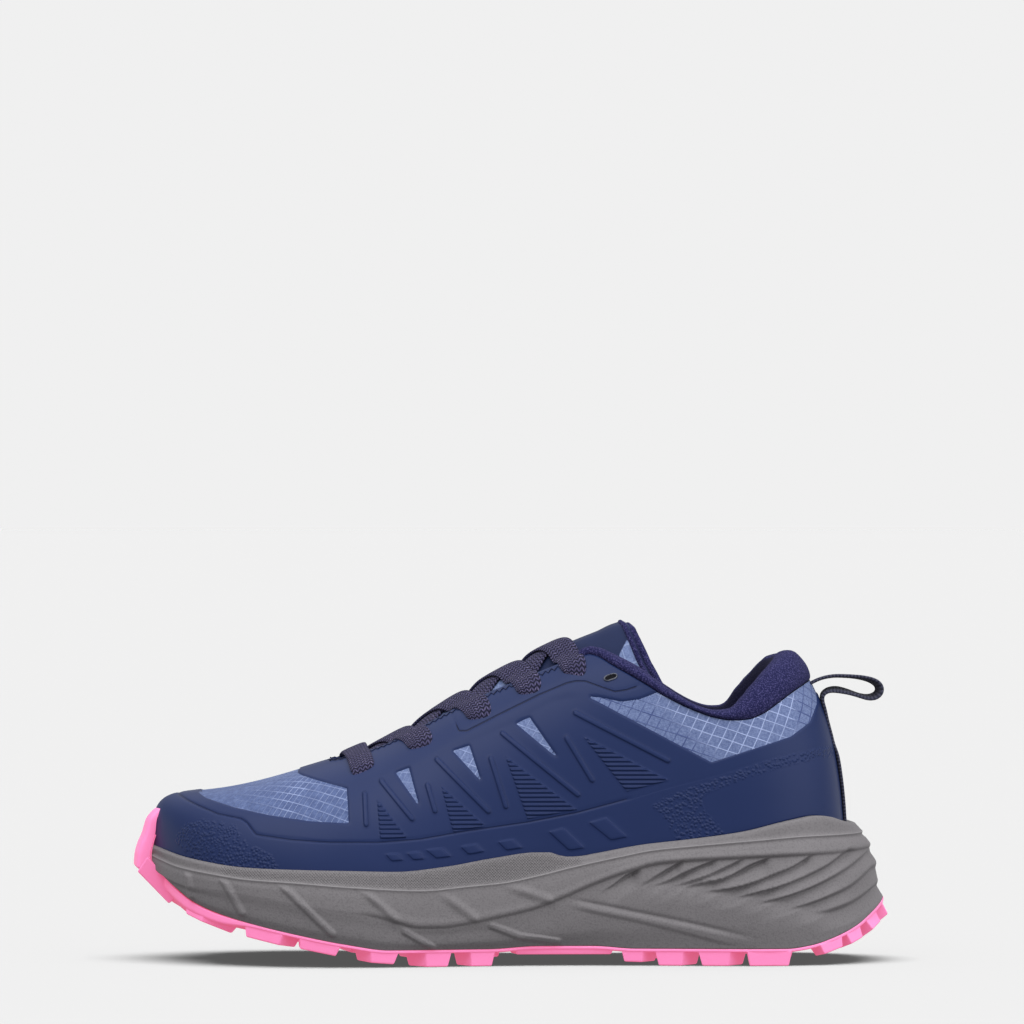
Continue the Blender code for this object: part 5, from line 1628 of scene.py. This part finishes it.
def build_lugs():
    """Lugs: leaning blocks down both edges, one at the toe, one at the back of the heel and two
    rows of angled blocks inside, all corners worked out together and rounded by a bevel."""
    heel, toe = END_LUGS
    table = [(float(edge_x(0.0)) + heel[0],) + heel[1:], toe]
    half = np.linspace(4.0, HALF - 4.0, 600)
    for w, side in ((half, 1), (PERIOD - half, -1)):
        path = edge_point(w, wall_out["bottom"](w) - LUG_INSET, 0.0)[::-1]
        for x, length, tall, lean in EDGE_LUGS:
            y, yb = (float(np.interp(q, path[:, 0], path[:, 1])) for q in (x - 1, x + 1))
            table.append((x, (y + yb) / 2, length, LUG_WIDTH, math.atan2(yb - y, 2.0), tall, lean, side))
        for at, length, tall in HEEL_EDGE_LUGS:
            here = np.array([at - 0.5, at, at + 0.5]) * side % PERIOD
            before, spot, after = edge_point(here, wall_out["bottom"](here) - HEEL_LUG_INSET, 0.0)
            turn = math.atan2(before[1] - after[1], before[0] - after[0])
            table.append((spot[0], spot[1], length, HEEL_LUG_WIDTH, turn, tall, 0.0, side))
    table += [lug + (0.0, 1) for lug in INNER_LUGS]
    corners = box_corners(*np.array(table).T)
    quads = np.array([(0, 1, 2, 3), (7, 6, 5, 4), (4, 5, 1, 0), (5, 6, 2, 1), (6, 7, 3, 2), (7, 4, 0, 3)])
    faces = (quads[None] + 8 * np.arange(len(table))[:, None, None]).reshape(-1, 4)
    piece = add_piece("outsole_lugs", corners, faces[:, ::-1], RUBBER)
    piece.data.shade_flat()
    bevel = piece.modifiers.new("worn edges", "BEVEL")
    bevel.width = LUG_BEVEL * MM
    bevel.segments = 3
    bevel.harden_normals = False
    return piece


def build_plate():
    """Rubber plate: the midsole's lower outline carried down by the plate's thickness."""
    w = ring_columns(420)
    spine = spine_line(w)
    edge = edge_point(w, wall_out["bottom"](w) + 0.15, 0.0)[:, :2]
    share, drop = np.array(PLATE_ROWS).T
    flat = spine[:, None] + (edge - spine)[:, None] * share[:, None]
    slope = (ground_z(edge[:, :1] + 1) - ground_z(edge[:, :1] - 1)) / 2
    deep = np.sqrt(1 + np.minimum(slope * slope, 3.0))
    toe = 1 + TOE_PLATE * fade(flat[..., 0], -92, -110)
    z = ground_z(flat[..., 0]) - drop * toe * (1 + (deep - 1) * share)
    grid = np.concatenate([flat, z[..., None]], -1)
    faces = grid_faces(*z.shape, True)[:, ::-1]
    return add_piece("outsole_plate", grid, faces, RUBBER, ["outsole"], weld=0.002)


def build_bumper():
    """Toe bumper: a tab that climbs from the plate over the midsole and the lower film, its
    inner face off theirs and its outer face swollen, rounded at the sides and the top."""
    across = np.linspace(-1, 1, 61)
    w = HALF + across * BUMPER_HALF
    cut = sections(w)
    bx = edge_x(w)
    out = {name: wall_out[name](w) for name in WALL_COLUMNS}
    foot = edge_point(w, out["bottom"], 0.0)
    rows_in = [
        edge_point(w, out["bottom"] - 2.2, ground_z(foot[:, 0]) - 1.35),
        edge_point(w, out["bottom"] + 0.4, ground_z(foot[:, 0]) - 0.6),
        edge_point(w, out["step"] + 0.4, step_z(bx)),
        edge_point(w, out["bead"] + 0.4, bead_z(bx)),
        edge_point(w, out["rim"] + 0.2, rim_z(bx) + 0.4),
    ]
    nx, ny = edge_normal(w)
    away = np.stack([nx, ny, 0 * nx], 1)
    for z in BUMPER_HEIGHTS:
        s = reach(cut, above(cut, level(z)))
        rows_in.append(points_at(cut, s[:, None])[:, 0] + away * (FILM_OUT - 0.1))
    t = np.linspace(0, 7, 50)
    knots = np.moveaxis(np.stack(rows_in, 1), -1, 1).reshape(-1, 8)
    inner = cubic_rows(np.arange(8.0), knots, t)
    inner = np.moveaxis(inner.reshape(61, 3, 50), 1, -1)
    swell = np.interp(t, np.arange(8), BUMPER_SWELL) * BUMPER
    top_round = np.sqrt(np.clip(1 - ((t - 6.2) / 0.82).clip(0) ** 2, 0.0, 1))
    side_round = np.sqrt(np.clip(1 - ((np.abs(across) - 0.86) / 0.141).clip(0) ** 2, 0.0, 1))
    outer = inner + away[:, None] * (swell * top_round)[None, :, None] * side_round[:, None, None]
    loop = np.concatenate([inner, outer[:, ::-1], inner[:, :1]], 1)
    faces = grid_faces(*loop.shape[:2], False)[:, ::-1]
    return add_piece("toe_bumper", loop, faces, RUBBER, weld=0.005)


build_upper()
build_lower_film()
build_cage()
build_midsole()
build_insole()
build_collar()
build_tongue()
build_laces()
build_stitches()
build_spare_eyelets()
build_loop()
for rubber in (build_plate(), build_lugs(), build_bumper()):
    rubber.visible_diffuse = False


def build_sky():
    """Studio light by direction: a pale band at the horizon, a dim room, a wide light overhead."""
    world = bpy.data.worlds.new("studio")
    world.use_nodes = True
    tree = world.node_tree
    up = parts_of(tree, place(tree, "Generated"))[2]
    band = span(tree, calc(tree, "ABSOLUTE", up), 0.10, 0.18, BACKDROP - ROOM, 0.0)
    over = span(tree, up, 0.30, 0.95, ROOM, OVERHEAD)
    tree.links.new(calc(tree, "ADD", band, over), tree.nodes["Background"].inputs["Strength"])
    tree.nodes["Background"].inputs["Color"].default_value = rgb(1.0, 1.0, 1.0)
    return world


def build_stage():
    """Plain pale floor, even soft light and a level camera at the photo's distance and height."""
    scene = bpy.context.scene
    scene.view_settings.view_transform = "Standard"
    mesh = bpy.data.meshes.new("floor")
    corners = [(x * FLOOR_SIZE, y * FLOOR_SIZE, 0.0) for x, y in ((-1, -1), (1, -1), (1, 1), (-1, 1))]
    mesh.from_pydata(corners, [], [(0, 1, 2, 3)])
    floor = bpy.data.objects.new("floor", mesh)
    scene.collection.objects.link(floor)
    pale, _, shader = paint("pale floor", 0.9, 0.0)
    shader.inputs["Base Color"].default_value = rgb(FLOOR_TONE, FLOOR_TONE, FLOOR_TONE)
    shader.inputs["Emission Color"].default_value = rgb(1.0, 1.0, 1.0)
    shader.inputs["Emission Strength"].default_value = FLOOR_GLOW
    mesh.materials.append(pale)
    floor.visible_diffuse = False
    floor.visible_glossy = False
    scene.world = build_sky()
    only_floor = bpy.data.collections.new("lit by the floor light")
    only_floor.objects.link(floor)
    casters = bpy.data.collections.new("shades the floor")
    for name in ("outsole_plate", "outsole_lugs"):
        casters.objects.link(bpy.data.objects[name])
    for name, power, angle, tilt, turn in SUNS:
        lamp = bpy.data.lights.new(name, "SUN")
        lamp.energy = power
        lamp.angle = math.radians(angle)
        made = bpy.data.objects.new(name, lamp)
        made.rotation_euler = (math.radians(tilt), 0.0, math.radians(turn))
        scene.collection.objects.link(made)
    made.light_linking.receiver_collection = only_floor
    made.light_linking.blocker_collection = casters
    lens = bpy.data.cameras.new("camera")
    lens.sensor_width = SENSOR
    lens.lens = SENSOR * -CAMERA[1] / SEEN_WIDTH
    lens.clip_end = 200.0
    camera = bpy.data.objects.new("camera", lens)
    camera.location = CAMERA
    camera.rotation_euler = (math.pi / 2, 0.0, 0.0)
    scene.collection.objects.link(camera)
    scene.camera = camera


build_stage()
